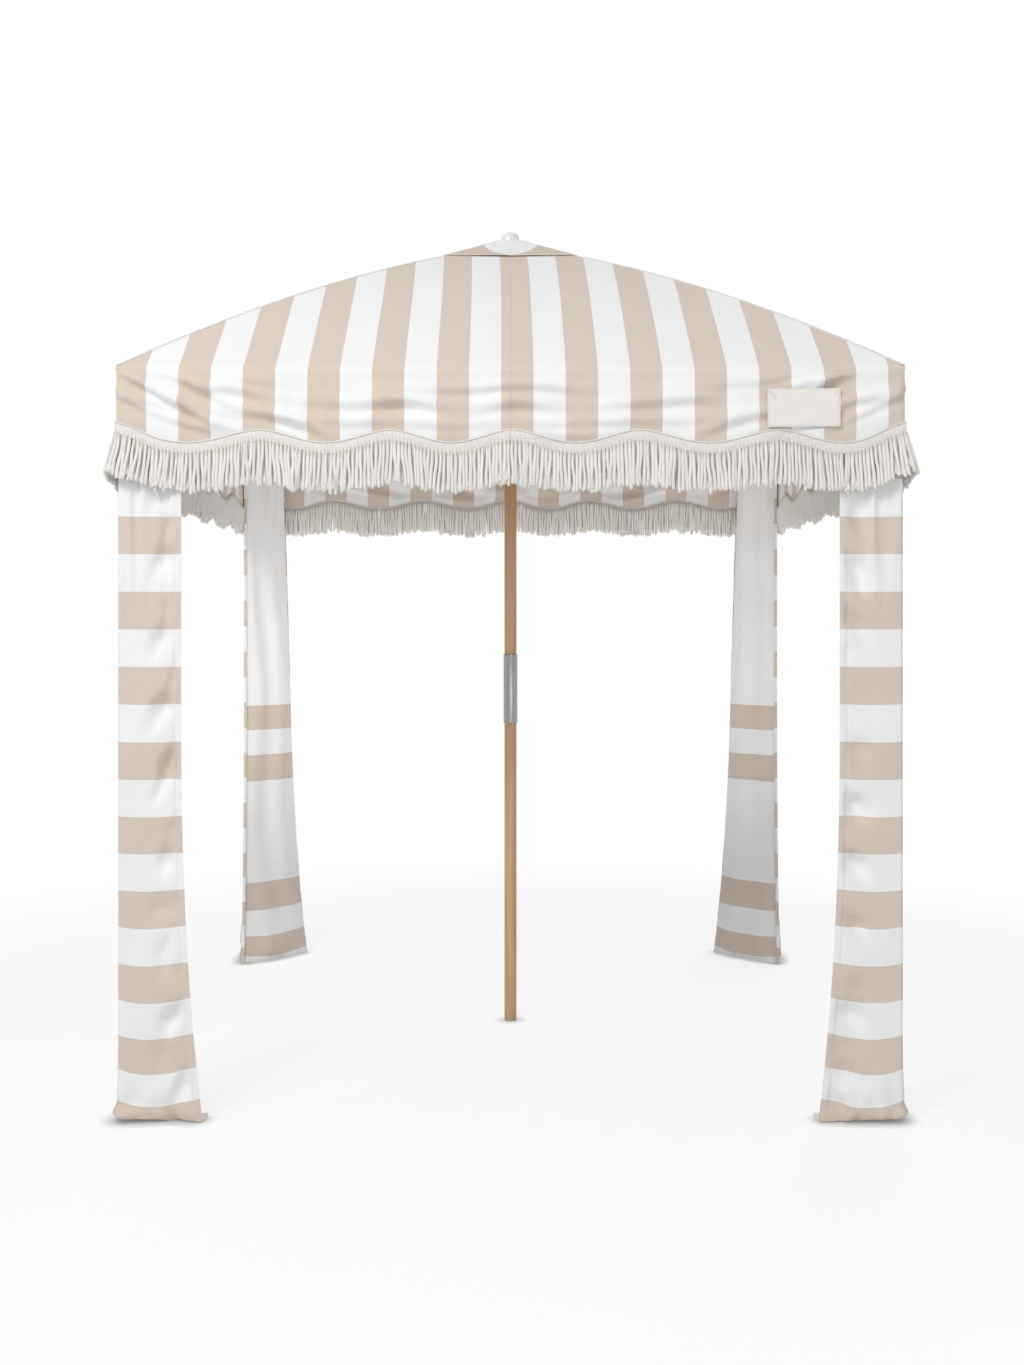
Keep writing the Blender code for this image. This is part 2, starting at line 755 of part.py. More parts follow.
def strut():
    """A straight tube with a flat eye at each end."""
    top, foot = STRUT_JOINT, RUNNER_PIN
    along = (foot - top).normalized()
    slope = slope_of(top, foot)
    long = (foot - top).length
    eye = STRUT_EYE_RADIUS
    half_width = STRUT_WIDTH / 2
    tube = STRUT_RADIUS * math.cos(math.pi / TUBE_SIDES)
    ends = (
        (-eye, half_width, eye / 2),
        (-eye / 2, half_width, eye),
        (eye / 2, half_width, eye),
        (STRUT_FLAT, half_width, tube),
        (STRUT_NECK, tube, tube),
    )
    rings = [ring_at(top + along * at, slope, w, h) for at, w, h in ends]
    rings += [ring_at(top + along * (long - at), slope, w, h) for at, w, h in ends[::-1]]
    reach = Vector((0, half_width + OVERRUN, 0))
    holes = [rod("eye", PIN_BORE, place - reach, place + reach) for place in (top, foot)]
    return carved("strut", lofted("strut", rings), (), holes)


def strut_rivet():
    """A rivet through the bracket's ears, with a head on each side."""
    inside = EAR_OUTSIDE + GAP
    outside = inside + RIVET_HEAD_HEIGHT
    profile = (
        (0, -outside),
        (RIVET_HEAD_RADIUS, -outside),
        (RIVET_HEAD_RADIUS, -inside),
        (PIN_RADIUS, -inside),
        (PIN_RADIUS, inside),
        (RIVET_HEAD_RADIUS, inside),
        (RIVET_HEAD_RADIUS, outside),
        (0, outside),
    )
    aim = Matrix.Rotation(math.radians(90), 4, "X")
    return turned("strut_rivet", profile, SMALL_SIDES, STRUT_JOINT, aim)


def hub_pin():
    reach = Vector((0, HUB_PIN_HALF_LENGTH, 0))
    return rod("hub_pin", PIN_RADIUS, HINGE - reach, HINGE + reach)


# Pole, hub, runner and catch


def lower_pole():
    base = rod("lower_pole", POLE_RADIUS, (0, 0, 0), (0, 0, POLE_JOINT_HEIGHT), POLE_SIDES)
    height = FERRULE_BOTTOM + FERRULE_PIN_RISE
    reach = POLE_RADIUS + OVERRUN
    hole = rod("hole", FERRULE_PIN_BORE, (-reach, 0, height), (reach, 0, height))
    return carved("lower_pole", base, (), [hole])


def ferrule():
    profile = (
        (FERRULE_RADIUS, FERRULE_TOP),
        (FERRULE_RADIUS, FERRULE_BOTTOM),
        (FERRULE_BORE, FERRULE_BOTTOM),
        (FERRULE_BORE, FERRULE_TOP),
    )
    base = turned("ferrule", profile, POLE_SIDES)
    height = FERRULE_BOTTOM + FERRULE_PIN_RISE
    reach = FERRULE_RADIUS + OVERRUN
    hole = rod("hole", FERRULE_PIN_BORE, (-reach, 0, height), (reach, 0, height))
    return carved("ferrule", base, (), [hole])


def ferrule_pin():
    height = FERRULE_BOTTOM + FERRULE_PIN_RISE
    reach = FERRULE_RADIUS
    return rod("ferrule_pin", FERRULE_PIN_RADIUS, (-reach, 0, height), (reach, 0, height))


def upper_pole():
    """The upper length, with a pocket for the catch and a hole for the finial's bolt."""
    bottom = POLE_JOINT_HEIGHT + GAP
    base = rod("upper_pole", POLE_RADIUS, (0, 0, bottom), (0, 0, POLE_TOP), POLE_SIDES)
    end = CATCH_POCKET_PAST_AXIS
    front = POLE_RADIUS + OVERRUN
    pocket = rod("pocket", CATCH_BORE, (0, -front, CATCH_HEIGHT), (0, end, CATCH_HEIGHT))
    deep = FINIAL_BASE - FINIAL_BOLT_LENGTH - FINIAL_BOLT_END_GAP
    above = POLE_TOP + OVERRUN
    bolt_hole = rod("bolt_hole", FINIAL_BOLT_BORE, (0, 0, deep), (0, 0, above))
    return carved("upper_pole", base, (), [pocket, bolt_hole])


def crown_hub():
    """The turned head on the pole, with a slot for each rib and bores for the pins."""
    profile = (
        (FINIAL_BOLT_BORE, HUB_TOP),
        (HUB_NECK_RADIUS, HUB_TOP),
        (HUB_RADIUS, HUB_DISC_TOP),
        (HUB_RADIUS, HUB_DISC_BOTTOM),
        (HUB_COLLAR_RADIUS, HUB_DISC_BOTTOM),
        (HUB_COLLAR_RADIUS, HUB_BOTTOM),
        (HUB_BORE, HUB_BOTTOM),
        (HUB_BORE, POLE_TOP + GAP),
        (FINIAL_BOLT_BORE, POLE_TOP + GAP),
    )
    base = turned("crown_hub", profile, POLE_SIDES)
    low = HUB_DISC_BOTTOM - OVERRUN
    high = HUB_TOP - SLOT_TOP_DROP
    cuts = []
    for _, azimuth in CORNERS:
        turn = Matrix.Rotation(azimuth, 4, "Z")
        end = HUB_RADIUS + OVERRUN
        slot = block("slot", (SLOT_START, -SLOT_WIDTH / 2, low), (end, SLOT_WIDTH / 2, high))
        slot.transform(turn)
        reach = Vector((0, HUB_RADIUS, 0))
        bore = rod("bore", PIN_BORE, HINGE - reach, HINGE + reach)
        bore.transform(turn)
        cuts += [slot, bore]
    return carved("crown_hub", base, (), cuts)


def finial():
    """A dome with the bolt that clamps the cap and the hub to the pole."""
    end = FINIAL_BASE - FINIAL_BOLT_LENGTH
    profile = [(0, end), (FINIAL_BOLT_RADIUS, end), (FINIAL_BOLT_RADIUS, FINIAL_BASE)]
    steps = 2 * ARC_STEPS
    for step in range(steps + 1):
        angle = math.pi / 2 * step / steps
        height = FINIAL_BASE + FINIAL_RADIUS * math.sin(angle)
        profile.append((FINIAL_RADIUS * math.cos(angle), height))
    profile[-1] = (0, FINIAL_BASE + FINIAL_RADIUS)
    return turned("finial", profile, POLE_SIDES)


def runner():
    """The sleeve that slides on the pole, with a lug beside each strut's foot."""
    flange_top = RUNNER_BOTTOM + RUNNER_FLANGE_HEIGHT
    profile = (
        (RUNNER_RADIUS, RUNNER_TOP),
        (RUNNER_RADIUS, flange_top),
        (RUNNER_FLANGE_RADIUS, flange_top),
        (RUNNER_FLANGE_RADIUS, RUNNER_BOTTOM),
        (RUNNER_BORE, RUNNER_BOTTOM),
        (RUNNER_BORE, RUNNER_TOP),
    )
    base = turned("runner", profile, POLE_SIDES)
    low = RUNNER_PIN.z - LUG_HALF_HEIGHT
    high = RUNNER_PIN.z + LUG_HALF_HEIGHT
    start = (RUNNER_BORE + RUNNER_RADIUS) / 2
    end = RUNNER_PIN.x + LUG_PAST_PIN
    side = STRUT_WIDTH / 2 + GAP
    lugs, holes = [], []
    for _, azimuth in CORNERS:
        turn = Matrix.Rotation(azimuth, 4, "Z")
        lug = block("lug", (start, side, low), (end, side + LUG_THICKNESS, high))
        lug.transform(turn)
        lugs.append(lug)
        near = RUNNER_PIN + Vector((0, side - OVERRUN, 0))
        far = RUNNER_PIN + Vector((0, side + LUG_THICKNESS + OVERRUN, 0))
        hole = rod("hole", PIN_BORE, near, far)
        hole.transform(turn)
        holes.append(hole)
    return carved("runner", base, lugs, holes)


def catch_button():
    inner = (0, -CATCH_INNER_REACH, CATCH_HEIGHT)
    return rod("catch_button", CATCH_RADIUS, CATCH_FACE, inner, 2 * SMALL_SIDES)


def catch_spring():
    """A coil of steel wire between the button and the end of its pocket."""
    wire = SPRING_WIRE_RADIUS
    start = -CATCH_INNER_REACH + GAP + wire
    end = CATCH_POCKET_PAST_AXIS - GAP - wire
    count = SPRING_TURNS * SPRING_POINTS_PER_TURN
    centres = []
    for step in range(count + 1):
        angle = math.tau * step / SPRING_POINTS_PER_TURN
        x, z = SPRING_RADIUS * math.cos(angle), SPRING_RADIUS * math.sin(angle)
        centres.append(Vector((x, start + (end - start) * step / count, CATCH_HEIGHT + z)))
    rings = []
    for step, centre in enumerate(centres):
        angle = math.tau * step / SPRING_POINTS_PER_TURN
        out = Vector((math.cos(angle), 0, math.sin(angle))) * wire
        beside = Vector((0, wire, 0))
        rings.append([centre + out, centre + beside, centre - out, centre - beside])
    return lofted("catch_spring", rings)


# Assembly

for old in list(bpy.data.objects):
    bpy.data.objects.remove(old)

STRIPED_CLOTH = material("striped_cloth", (0.69, 0.60, 0.52), 0.9)
WHITE_CLOTH = material("white_cloth", (0.86, 0.86, 0.85), 0.9)
COTTON = material("cotton", (0.82, 0.79, 0.74), 0.95)
LABEL_CLOTH = material("label_cloth", (0.90, 0.85, 0.77), 0.9)
WOOD = material("wood", (0.58, 0.35, 0.17), 0.45)
STEEL = material("steel", (0.55, 0.55, 0.56), 0.3, 1.0)
GALVANISED = material("galvanised", (0.70, 0.71, 0.72), 0.4, 1.0)
WHITE_PLASTIC = material("white_plastic", (0.88, 0.88, 0.88), 0.35)

base_frame = pivot("base_frame", (0, 0, 0))
mast_frame = pivot("mast_frame", (0, 0, POLE_JOINT_HEIGHT), base_frame)
runner_frame = pivot("runner_frame", (0, 0, RUNNER_PIN.z - POLE_JOINT_HEIGHT), mast_frame)
catch_place = CATCH_FACE - Vector((0, 0, POLE_JOINT_HEIGHT))
catch_frame = pivot("catch_frame", catch_place, mast_frame)

mast_origin = Vector((0, 0, POLE_JOINT_HEIGHT))
runner_origin = Vector((0, 0, RUNNER_PIN.z))
piece("lower_pole", lower_pole(), WOOD, base_frame)
piece("ferrule", ferrule(), STEEL, base_frame)
piece("ferrule_pin", ferrule_pin(), STEEL, base_frame)
piece("upper_pole", upper_pole(), WOOD, mast_frame, mast_origin)
piece("crown_hub", crown_hub(), WHITE_PLASTIC, mast_frame, mast_origin)
piece("crown_patch", crown_patch(), WHITE_CLOTH, mast_frame, mast_origin)
piece("finial", finial(), WHITE_PLASTIC, mast_frame, mast_origin)
piece("catch_spring", catch_spring(), STEEL, mast_frame, mast_origin)
piece("runner", runner(), WHITE_PLASTIC, runner_frame, runner_origin)
piece("catch_button", catch_button(), STEEL, catch_frame, CATCH_FACE)

corner_meshes = {
    "hub_pin": (hub_pin(), GALVANISED),
    "rib": (rib(), GALVANISED),
    "rib_tip": (rib_tip(), WHITE_PLASTIC),
    "strut_rivet": (strut_rivet(), GALVANISED),
    "roof": (roof_quarter(), STRIPED_CLOTH),
    "vent_cap": (cap_quarter(), STRIPED_CLOTH),
    "strut": (strut(), GALVANISED),
    "corner_block": (corner_block(), WHITE_PLASTIC),
    "valance": (valance_quarter(), STRIPED_CLOTH),
    "fringe": (fringe_quarter(), COTTON),
    "leg_outer": (leg_outer_panel(), STRIPED_CLOTH),
    "leg_lining": (leg_lining(), WHITE_CLOTH),
}
ON_RIB = ("rib", "rib_tip", "strut_rivet", "roof", "vent_cap")
ON_CORNER = ("corner_block", "valance", "fringe", "leg_outer", "leg_lining")

for corner, azimuth in CORNERS:
    turn = Matrix.Rotation(azimuth, 3, "Z")
    hinge_place = turn @ HINGE - mast_origin
    rib_frame = pivot("rib_frame_" + corner, hinge_place, mast_frame, azimuth)
    strut_frame = pivot("strut_frame_" + corner, STRUT_JOINT - HINGE, rib_frame)
    corner_frame = pivot("corner_frame_" + corner, TIP - HINGE, rib_frame)
    pin_frame = pivot("pin_frame_" + corner, -mast_origin, mast_frame, azimuth)
    carriers = {"hub_pin": (pin_frame, (0, 0, 0)), "strut": (strut_frame, STRUT_JOINT)}
    carriers.update({kind: (rib_frame, HINGE) for kind in ON_RIB})
    carriers.update({kind: (corner_frame, TIP) for kind in ON_CORNER})
    for kind, (mesh, surface) in corner_meshes.items():
        carrier, origin = carriers[kind]
        piece(kind + "_" + corner, mesh, surface, carrier, origin)
    if corner == "front_right":
        label = piece("label", label_patch(), LABEL_CLOTH, corner_frame)
        bpy.context.view_layer.update()
        label.matrix_world = Matrix.Identity(4)

bpy.context.view_layer.update()
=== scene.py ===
# Beach tent: a striped cloth canopy on a wooden pole in two lengths, with four cloth legs
# Metres, +Z up, the front faces -Y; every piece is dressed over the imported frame

import math

import bmesh
import bpy
import numpy as np
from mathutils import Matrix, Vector


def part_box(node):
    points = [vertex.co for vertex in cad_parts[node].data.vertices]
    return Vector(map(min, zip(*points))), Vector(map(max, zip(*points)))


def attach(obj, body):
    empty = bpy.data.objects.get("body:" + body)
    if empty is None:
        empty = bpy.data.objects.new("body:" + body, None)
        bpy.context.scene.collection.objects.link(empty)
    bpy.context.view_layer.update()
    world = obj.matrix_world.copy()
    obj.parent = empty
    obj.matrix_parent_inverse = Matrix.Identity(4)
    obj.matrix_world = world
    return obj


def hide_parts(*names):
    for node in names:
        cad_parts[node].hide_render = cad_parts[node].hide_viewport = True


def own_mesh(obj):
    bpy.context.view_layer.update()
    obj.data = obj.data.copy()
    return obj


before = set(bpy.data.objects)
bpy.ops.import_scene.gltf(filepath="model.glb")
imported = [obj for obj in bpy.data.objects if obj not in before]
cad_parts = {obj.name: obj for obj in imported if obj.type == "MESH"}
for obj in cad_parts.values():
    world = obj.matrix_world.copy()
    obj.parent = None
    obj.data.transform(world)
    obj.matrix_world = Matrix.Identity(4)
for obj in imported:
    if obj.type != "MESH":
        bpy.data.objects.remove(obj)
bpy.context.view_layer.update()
stage_collection = bpy.context.scene.collection

# Lower pole: a turned beech length with a clear satin varnish. Its foot is sawn
# square, its edge eased, and it stands on the ground under the canopy's middle.

EASED_EDGE = 0.0012
POLE_SIDES = 64
BEECH_PALE = (0.650, 0.415, 0.220)
BEECH_GRAIN = (0.470, 0.262, 0.115)
# Painted shade of the canopy on the pole's upper part
BEECH_CANOPY_SHADE = (0.560, 0.290, 0.130)
# A darker tone laid in patches over the lowest few centimetres of the pole
BEECH_FOOT_DARK = (0.42, 0.32, 0.22)
# Heights over which the painted canopy shade fades in
CANOPY_SHADE_FROM = 1.10
CANOPY_SHADE_TO = 1.75
FOOT_DARK_BELOW = 0.035


def new_material(name, roughness, metallic=0.0):
    """A material with its Principled shader."""
    material = bpy.data.materials.new(name)
    material.use_nodes = True
    shader = material.node_tree.nodes["Principled BSDF"]
    shader.inputs["Roughness"].default_value = roughness
    shader.inputs["Metallic"].default_value = metallic
    return material, material.node_tree, shader


def feed(tree, node, inputs):
    """Set or link a node's inputs."""
    for name, value in inputs.items():
        if isinstance(value, bpy.types.NodeSocket):
            tree.links.new(value, node.inputs[name])
        else:
            node.inputs[name].default_value = value


def add_node(tree, kind, inputs=None, **settings):
    """A node with its settings and with values or links on its inputs."""
    node = tree.nodes.new(kind)
    for name, value in settings.items():
        setattr(node, name, value)
    feed(tree, node, inputs or {})
    return node


def maths(tree, operation, *values):
    """The result of one sum."""
    inputs = dict(enumerate(values))
    return add_node(tree, "ShaderNodeMath", inputs, operation=operation).outputs[0]


def times(tree, first, second):
    return maths(tree, "MULTIPLY", first, second)


def scaled(tree, value, factor, start):
    """A value times a factor, added to a start."""
    return maths(tree, "MULTIPLY_ADD", value, factor, start)


def ramp_between(tree, value, start, end):
    """A smooth step from 0 at start to 1 at end."""
    inputs = {"Value": value, "From Min": start, "From Max": end}
    node = add_node(tree, "ShaderNodeMapRange", inputs, interpolation_type="SMOOTHSTEP")
    return node.outputs[0]


def mix_colours(tree, share, first, second, blend="MIX"):
    """Two colours mixed by a share."""
    pair = [(*colour, 1) if isinstance(colour, tuple) else colour for colour in (first, second)]
    inputs = {0: share, 6: pair[0], 7: pair[1]}
    return add_node(tree, "ShaderNodeMix", inputs, data_type="RGBA", blend_type=blend).outputs[2]


def tint(tree, colour, over, mask, strength):
    """A colour with another one laid over it where a mask says."""
    return mix_colours(tree, times(tree, mask, strength), colour, over)


def speckle(tree, vector, scale, stretch=(1, 1, 1), detail=3.0, distortion=0.0):
    """Noise over coordinates that can be stretched along an axis."""
    mapping = add_node(tree, "ShaderNodeMapping", {"Vector": vector, "Scale": stretch})
    inputs = {"Vector": mapping.outputs[0], "Scale": scale, "Detail": detail}
    inputs["Distortion"] = distortion
    return add_node(tree, "ShaderNodeTexNoise", inputs).outputs[0]


def raise_surface(tree, shader, height, depth, strength):
    """Relief from a height in shares of a depth in metres."""
    inputs = {"Height": height, "Distance": depth, "Strength": strength}
    feed(tree, shader, {"Normal": add_node(tree, "ShaderNodeBump", inputs).outputs[0]})


def own_place(tree):
    """Coordinates that stay with the piece."""
    return add_node(tree, "ShaderNodeTexCoord").outputs["Object"]


def varnished_beech():
    material, tree, shader = new_material("varnished_beech", 0.40)
    place = own_place(tree)
    height = add_node(tree, "ShaderNodeSeparateXYZ", {0: place}).outputs[2]
    growth = speckle(tree, place, 24, (1, 1, 0.045), 4, 0.8)
    pores = speckle(tree, place, 420, (1, 1, 0.02), 2)
    base = mix_colours(tree, ramp_between(tree, growth, 0.34, 0.68), BEECH_PALE, BEECH_GRAIN)
    # Painted shade: the wood is darkened towards the top, where the canopy shades the pole
    base = tint(tree, base, BEECH_CANOPY_SHADE, ramp_between(tree, height, CANOPY_SHADE_FROM, CANOPY_SHADE_TO), 0.75)
    base = tint(tree, base, BEECH_GRAIN, ramp_between(tree, pores, 0.52, 0.70), 0.30)
    # Darker in patches towards the foot
    darker_foot = ramp_between(tree, height, FOOT_DARK_BELOW, 0.0)
    base = tint(tree, base, BEECH_FOOT_DARK, darker_foot, speckle(tree, place, 160))
    rough = scaled(tree, growth, 0.14, 0.34)
    feed(tree, shader, {"Base Color": base, "Roughness": rough})
    feed(tree, shader, {"Coat Weight": 0.22, "Coat Roughness": 0.28})
    raise_surface(tree, shader, pores, 0.0002, 0.5)
    return material


def mesh_from(shape, name):
    """A mesh from what was built point by point."""
    mesh = bpy.data.meshes.new(name)
    shape.to_mesh(mesh)
    shape.free()
    return mesh


def piece_from(mesh, name, surface, sharp=180):
    """A piece from a mesh with its material, smooth except at sharper edges."""
    mesh.shade_smooth()
    mesh.set_sharp_from_angle(angle=math.radians(sharp))
    mesh.materials.append(surface)
    piece = bpy.data.objects.new(name, mesh)
    stage_collection.objects.link(piece)
    return piece


def turned_piece(name, profile, surface):
    """A profile of (radius, height) points turned round the pole's axis."""
    shape = bmesh.new()
    rings = []
    for radius, height in profile:
        count = POLE_SIDES if radius > 0 else 1
        turns = [math.tau * side / count for side in range(count)]
        points = [(radius * math.cos(a), radius * math.sin(a), height) for a in turns]
        rings.append([shape.verts.new(point) for point in points])
    for low, high in zip(rings, rings[1:]):
        for side in range(POLE_SIDES):
            after = (side + 1) % POLE_SIDES
            corners = [low[side % len(low)], low[after % len(low)]]
            corners += [high[after % len(high)], high[side % len(high)]]
            corners = list(dict.fromkeys(corners))
            if len(corners) > 2:
                shape.faces.new(corners)
    bmesh.ops.recalc_face_normals(shape, faces=shape.faces[:])
    return piece_from(mesh_from(shape, name), name, surface, 38)


def hang_on(piece, body, nodes=()):
    """Let a piece ride on its body in place of its solids."""
    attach(piece, body)
    if nodes:
        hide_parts(*nodes)
    return piece


def both_ends(end, low, high):
    """A profile whose head is shaped as its foot, from (radius, distance from the end) points."""
    foot = [(radius, low + inward) for radius, inward in end]
    head = [(radius, high - inward) for radius, inward in reversed(end)]
    return foot + [(end[-1][0], (low + high) / 2)] + head


def pole_profile(radius, low, high):
    """A bar with eased ends."""
    eased = EASED_EDGE * 0.3
    end = [(0, 0), (radius - EASED_EDGE, 0), (radius - eased, eased), (radius, EASED_EDGE)]
    return both_ends(end, low, high)


beech = varnished_beech()
pole_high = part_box("lower_pole")[1]
pole_radius = pole_high.x
lower_pole = turned_piece("lower_pole_turned", pole_profile(pole_radius, 0, pole_high.z), beech)
hang_on(lower_pole, "base", ["lower_pole"])

# Ferrule: a drawn and brushed steel tube that joins the two lengths. It is pinned
# to the lower one through both walls, and its rims are rolled in.

BORE_PLAY = 0.0003
RIM_BEAD = 0.00036
RIM_HEIGHT = 0.005
RIM_EDGE = 0.0006
STEEL = (0.37, 0.37, 0.38)
STEEL_DARK = (0.21, 0.21, 0.22)
STEEL_CLOUD = (0.48, 0.48, 0.48)


def brushed_steel():
    material, tree, shader = new_material("brushed_steel", 0.30, 1.0)
    place = own_place(tree)
    lines = speckle(tree, place, 900, (1, 1, 0.012), 2)
    cloudy = speckle(tree, place, 18, (1, 1, 0.4))
    base = tint(tree, STEEL, STEEL_DARK, lines, 0.7)
    base = tint(tree, base, STEEL_CLOUD, cloudy, 0.25)
    feed(tree, shader, {"Base Color": base, "Roughness": scaled(tree, lines, 0.16, 0.22)})
    raise_surface(tree, shader, lines, 0.0001, 0.35)
    return material


steel = brushed_steel()
tube_low, tube_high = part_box("ferrule")
tube_radius, bore = tube_high.x, pole_radius + BORE_PLAY
tube_end = [
    (bore, RIM_EDGE),
    (bore + RIM_EDGE, 0),
    (tube_radius - 0.0004, 0),
    (tube_radius + RIM_BEAD, RIM_HEIGHT * 0.2),
    (tube_radius + RIM_BEAD, RIM_HEIGHT * 0.7),
    (tube_radius - 0.0002, RIM_HEIGHT),
]
tube_profile = both_ends(tube_end, tube_low.z, tube_high.z)
tube_profile.append(tube_profile[0])
hang_on(turned_piece("ferrule_tube", tube_profile, steel), "base", ["ferrule"])


def machined(node, name, body, surface, ease=0.0003, sharp=35):
    """A solid taken over point by point, its edges eased and its rounds made smooth."""
    shape = bmesh.new()
    shape.from_mesh(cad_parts[node].data)
    bmesh.ops.remove_doubles(shape, verts=shape.verts[:], dist=0.00001)
    flat = math.radians(0.5)
    bmesh.ops.dissolve_limit(shape, angle_limit=flat, verts=shape.verts[:], edges=shape.edges[:])
    mesh = mesh_from(shape, name)
    mesh.materials.clear()
    piece = piece_from(mesh, name, surface, sharp)
    edge = piece.modifiers.new("eased edges", "BEVEL")
    edge.width = ease
    edge.segments = 2
    edge.limit_method = "ANGLE"
    edge.angle_limit = math.radians(sharp)
    edge.harden_normals = True
    return hang_on(piece, body, [node])


machined("ferrule_pin", "ferrule_cross_pin", "base", steel, 0.0002)

# Upper pole: the same beech turned to the same thickness. Its foot stands in the
# ferrule, and its head carries the hub that the ribs hang from.

upper_low, upper_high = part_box("upper_pole")
upper_profile = pole_profile(pole_radius, upper_low.z, upper_high.z)
upper_pole = turned_piece("upper_pole_turned", upper_profile, beech)
hang_on(upper_pole, "mast", ["upper_pole"])

# Crown hub, hub pins, runner, catch: moulded white nylon turned parts with steel
# pins. The runner slides on the pole and rests on the sprung catch button.

CORNERS = {"front_right": (1, -1), "back_right": (1, 1), "back_left": (-1, 1), "front_left": (-1, -1)}
NYLON = (0.86, 0.86, 0.855)
NYLON_SHADE = (0.78, 0.78, 0.775)
ZINC = (0.66, 0.67, 0.68)
ZINC_SPANGLE = (0.46, 0.47, 0.48)


def moulded_nylon(name, colour, shade, roughness=0.32):
    material, tree, shader = new_material(name, roughness)
    place = own_place(tree)
    flow = speckle(tree, place, 30, (1, 1, 0.5))
    base = mix_colours(tree, flow, colour, shade)
    feed(tree, shader, {"Base Color": base, "Roughness": scaled(tree, flow, 0.12, roughness - 0.06)})
    raise_surface(tree, shader, speckle(tree, place, 400, detail=2), 0.00003, 0.15)
    return material


def plated_steel():
    material, tree, shader = new_material("plated_steel", 0.34, 1.0)
    spangle = speckle(tree, own_place(tree), 500, detail=2)
    base = mix_colours(tree, spangle, ZINC, ZINC_SPANGLE)
    feed(tree, shader, {"Base Color": base, "Roughness": scaled(tree, spangle, 0.2, 0.24)})
    raise_surface(tree, shader, spangle, 0.00005, 0.4)
    return material


nylon = moulded_nylon("moulded_nylon", NYLON, NYLON_SHADE)
zinc = plated_steel()
machined("crown_hub", "crown_hub_moulding", "mast", nylon, 0.0008)
machined("runner", "runner_moulding", "runner", nylon, 0.0006)
machined("catch_button", "catch_button_turned", "catch", steel, 0.0006)
spring = machined("catch_spring", "catch_spring_wire", "mast", steel, 0.00005)
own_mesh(spring)
for corner in CORNERS:
    machined(f"hub_pin_{corner}", f"hub_axle_{corner}", "mast", zinc, 0.0002)

# Ribs and struts: drawn aluminium tubes, flattened and bored at the joints, with
# zinc-plated rivets. Each rib ends in a nylon ball that sits in its corner's socket.

ALUMINIUM = (0.74, 0.75, 0.76)
ALUMINIUM_DRAWN = (0.60, 0.61, 0.62)
ALUMINIUM_MARKED = (0.52, 0.53, 0.54)


def drawn_tube():
    material, tree, shader = new_material("drawn_aluminium", 0.36, 1.0)
    place = own_place(tree)
    drawn = speckle(tree, place, 260, (1, 1, 0.2))
    marks = speckle(tree, place, 14, detail=4)
    base = mix_colours(tree, drawn, ALUMINIUM, ALUMINIUM_DRAWN)
    base = tint(tree, base, ALUMINIUM_MARKED, marks, 0.3)
    feed(tree, shader, {"Base Color": base, "Roughness": scaled(tree, marks, 0.22, 0.26)})
    raise_surface(tree, shader, drawn, 0.00005, 0.4)
    return material


aluminium = drawn_tube()
for corner in CORNERS:
    rib_body, strut_body = f"rib_{corner}", f"strut_{corner}"
    machined(rib_body, f"rib_tube_{corner}", rib_body, aluminium, sharp=50)
    machined(strut_body, f"strut_tube_{corner}", strut_body, aluminium, sharp=50)
    machined(f"strut_rivet_{corner}", f"strut_axle_{corner}", rib_body, zinc)
    machined(f"rib_tip_{corner}", f"rib_ball_{corner}", rib_body, nylon)

# Corner blocks: moulded nylon blocks sewn into the canopy's corners, each with the
# socket for a rib's ball.

for corner in CORNERS:
    block, socket = f"corner_block_{corner}", f"corner_socket_{corner}"
    machined(block, socket, f"corner_{corner}", nylon, 0.0008)

# Roof: yarn-dyed cotton canvas in beige and white stripes. Four faces are sewn along
# the ridges and each has a centre seam, so it is made here as eight half faces.

FACES = {
    "front": (-90, "front_left", "front_right"),
    "right": (0, "front_right", "back_right"),
    "back": (90, "back_right", "back_left"),
    "left": (180, "back_left", "front_left"),
}
HALF_FACES = []
for number, (face, (_, left_corner, right_corner)) in enumerate(FACES.items()):
    HALF_FACES.append((number, face, -1, left_corner))
    HALF_FACES.append((number, face, 1, right_corner))
HALF_SIDE = 0.900
EAVE = 1.727
ROOF_RISE = 0.493
ROOF_BOW = 0.168
VENT_HALF = 0.121
CAP_HALF = 0.183
EAVE_ROUNDING = 0.014
CANVAS = 0.0011
SEAM_GAP = 0.0002
STRIPE = 0.0735
STRIPE_SHIFT = 0.0154
STRIPES_DRIFT = 0.008
STRIPES_SPREAD = 0.034
ROOF_SAG = 0.004
EAVE_SAG = 0.0075
EAVE_SAG_REACH = 0.12
BEIGE = (0.700, 0.598, 0.515)
WHITE = (0.905, 0.905, 0.905)
THREAD = (0.780, 0.735, 0.680)
STITCH = 0.0042
YARN = 0.0016
PUCKER = 0.017
YARN_EDGE = 0.0006
UP = np.array((0, 0, 1))


def roof_height(reach):
    """Height of the cloth at a distance from the axis square to the eave."""
    share = 1 - reach / HALF_SIDE
    return EAVE + (ROOF_RISE + ROOF_BOW) * share - ROOF_BOW * share**2


def eave_sag(share):
    """How far the eave hangs down at a share of the way to its corner."""
    return EAVE_SAG * (1 - np.abs(share) ** 8)


def face_frame(face):
    """Directions out of a face and to the right, for someone who looks at it."""
    angle = math.radians(FACES[face][0])
    out = np.array((math.cos(angle), math.sin(angle), 0))
    return out, np.array((-out[1], out[0], 0))


def in_face(face, across, reach, height):
    """World points from places in a face."""
    out, right = face_frame(face)
    across, reach, height = np.broadcast_arrays(across, reach, height)
    return across[..., None] * right + reach[..., None] * out + height[..., None] * UP


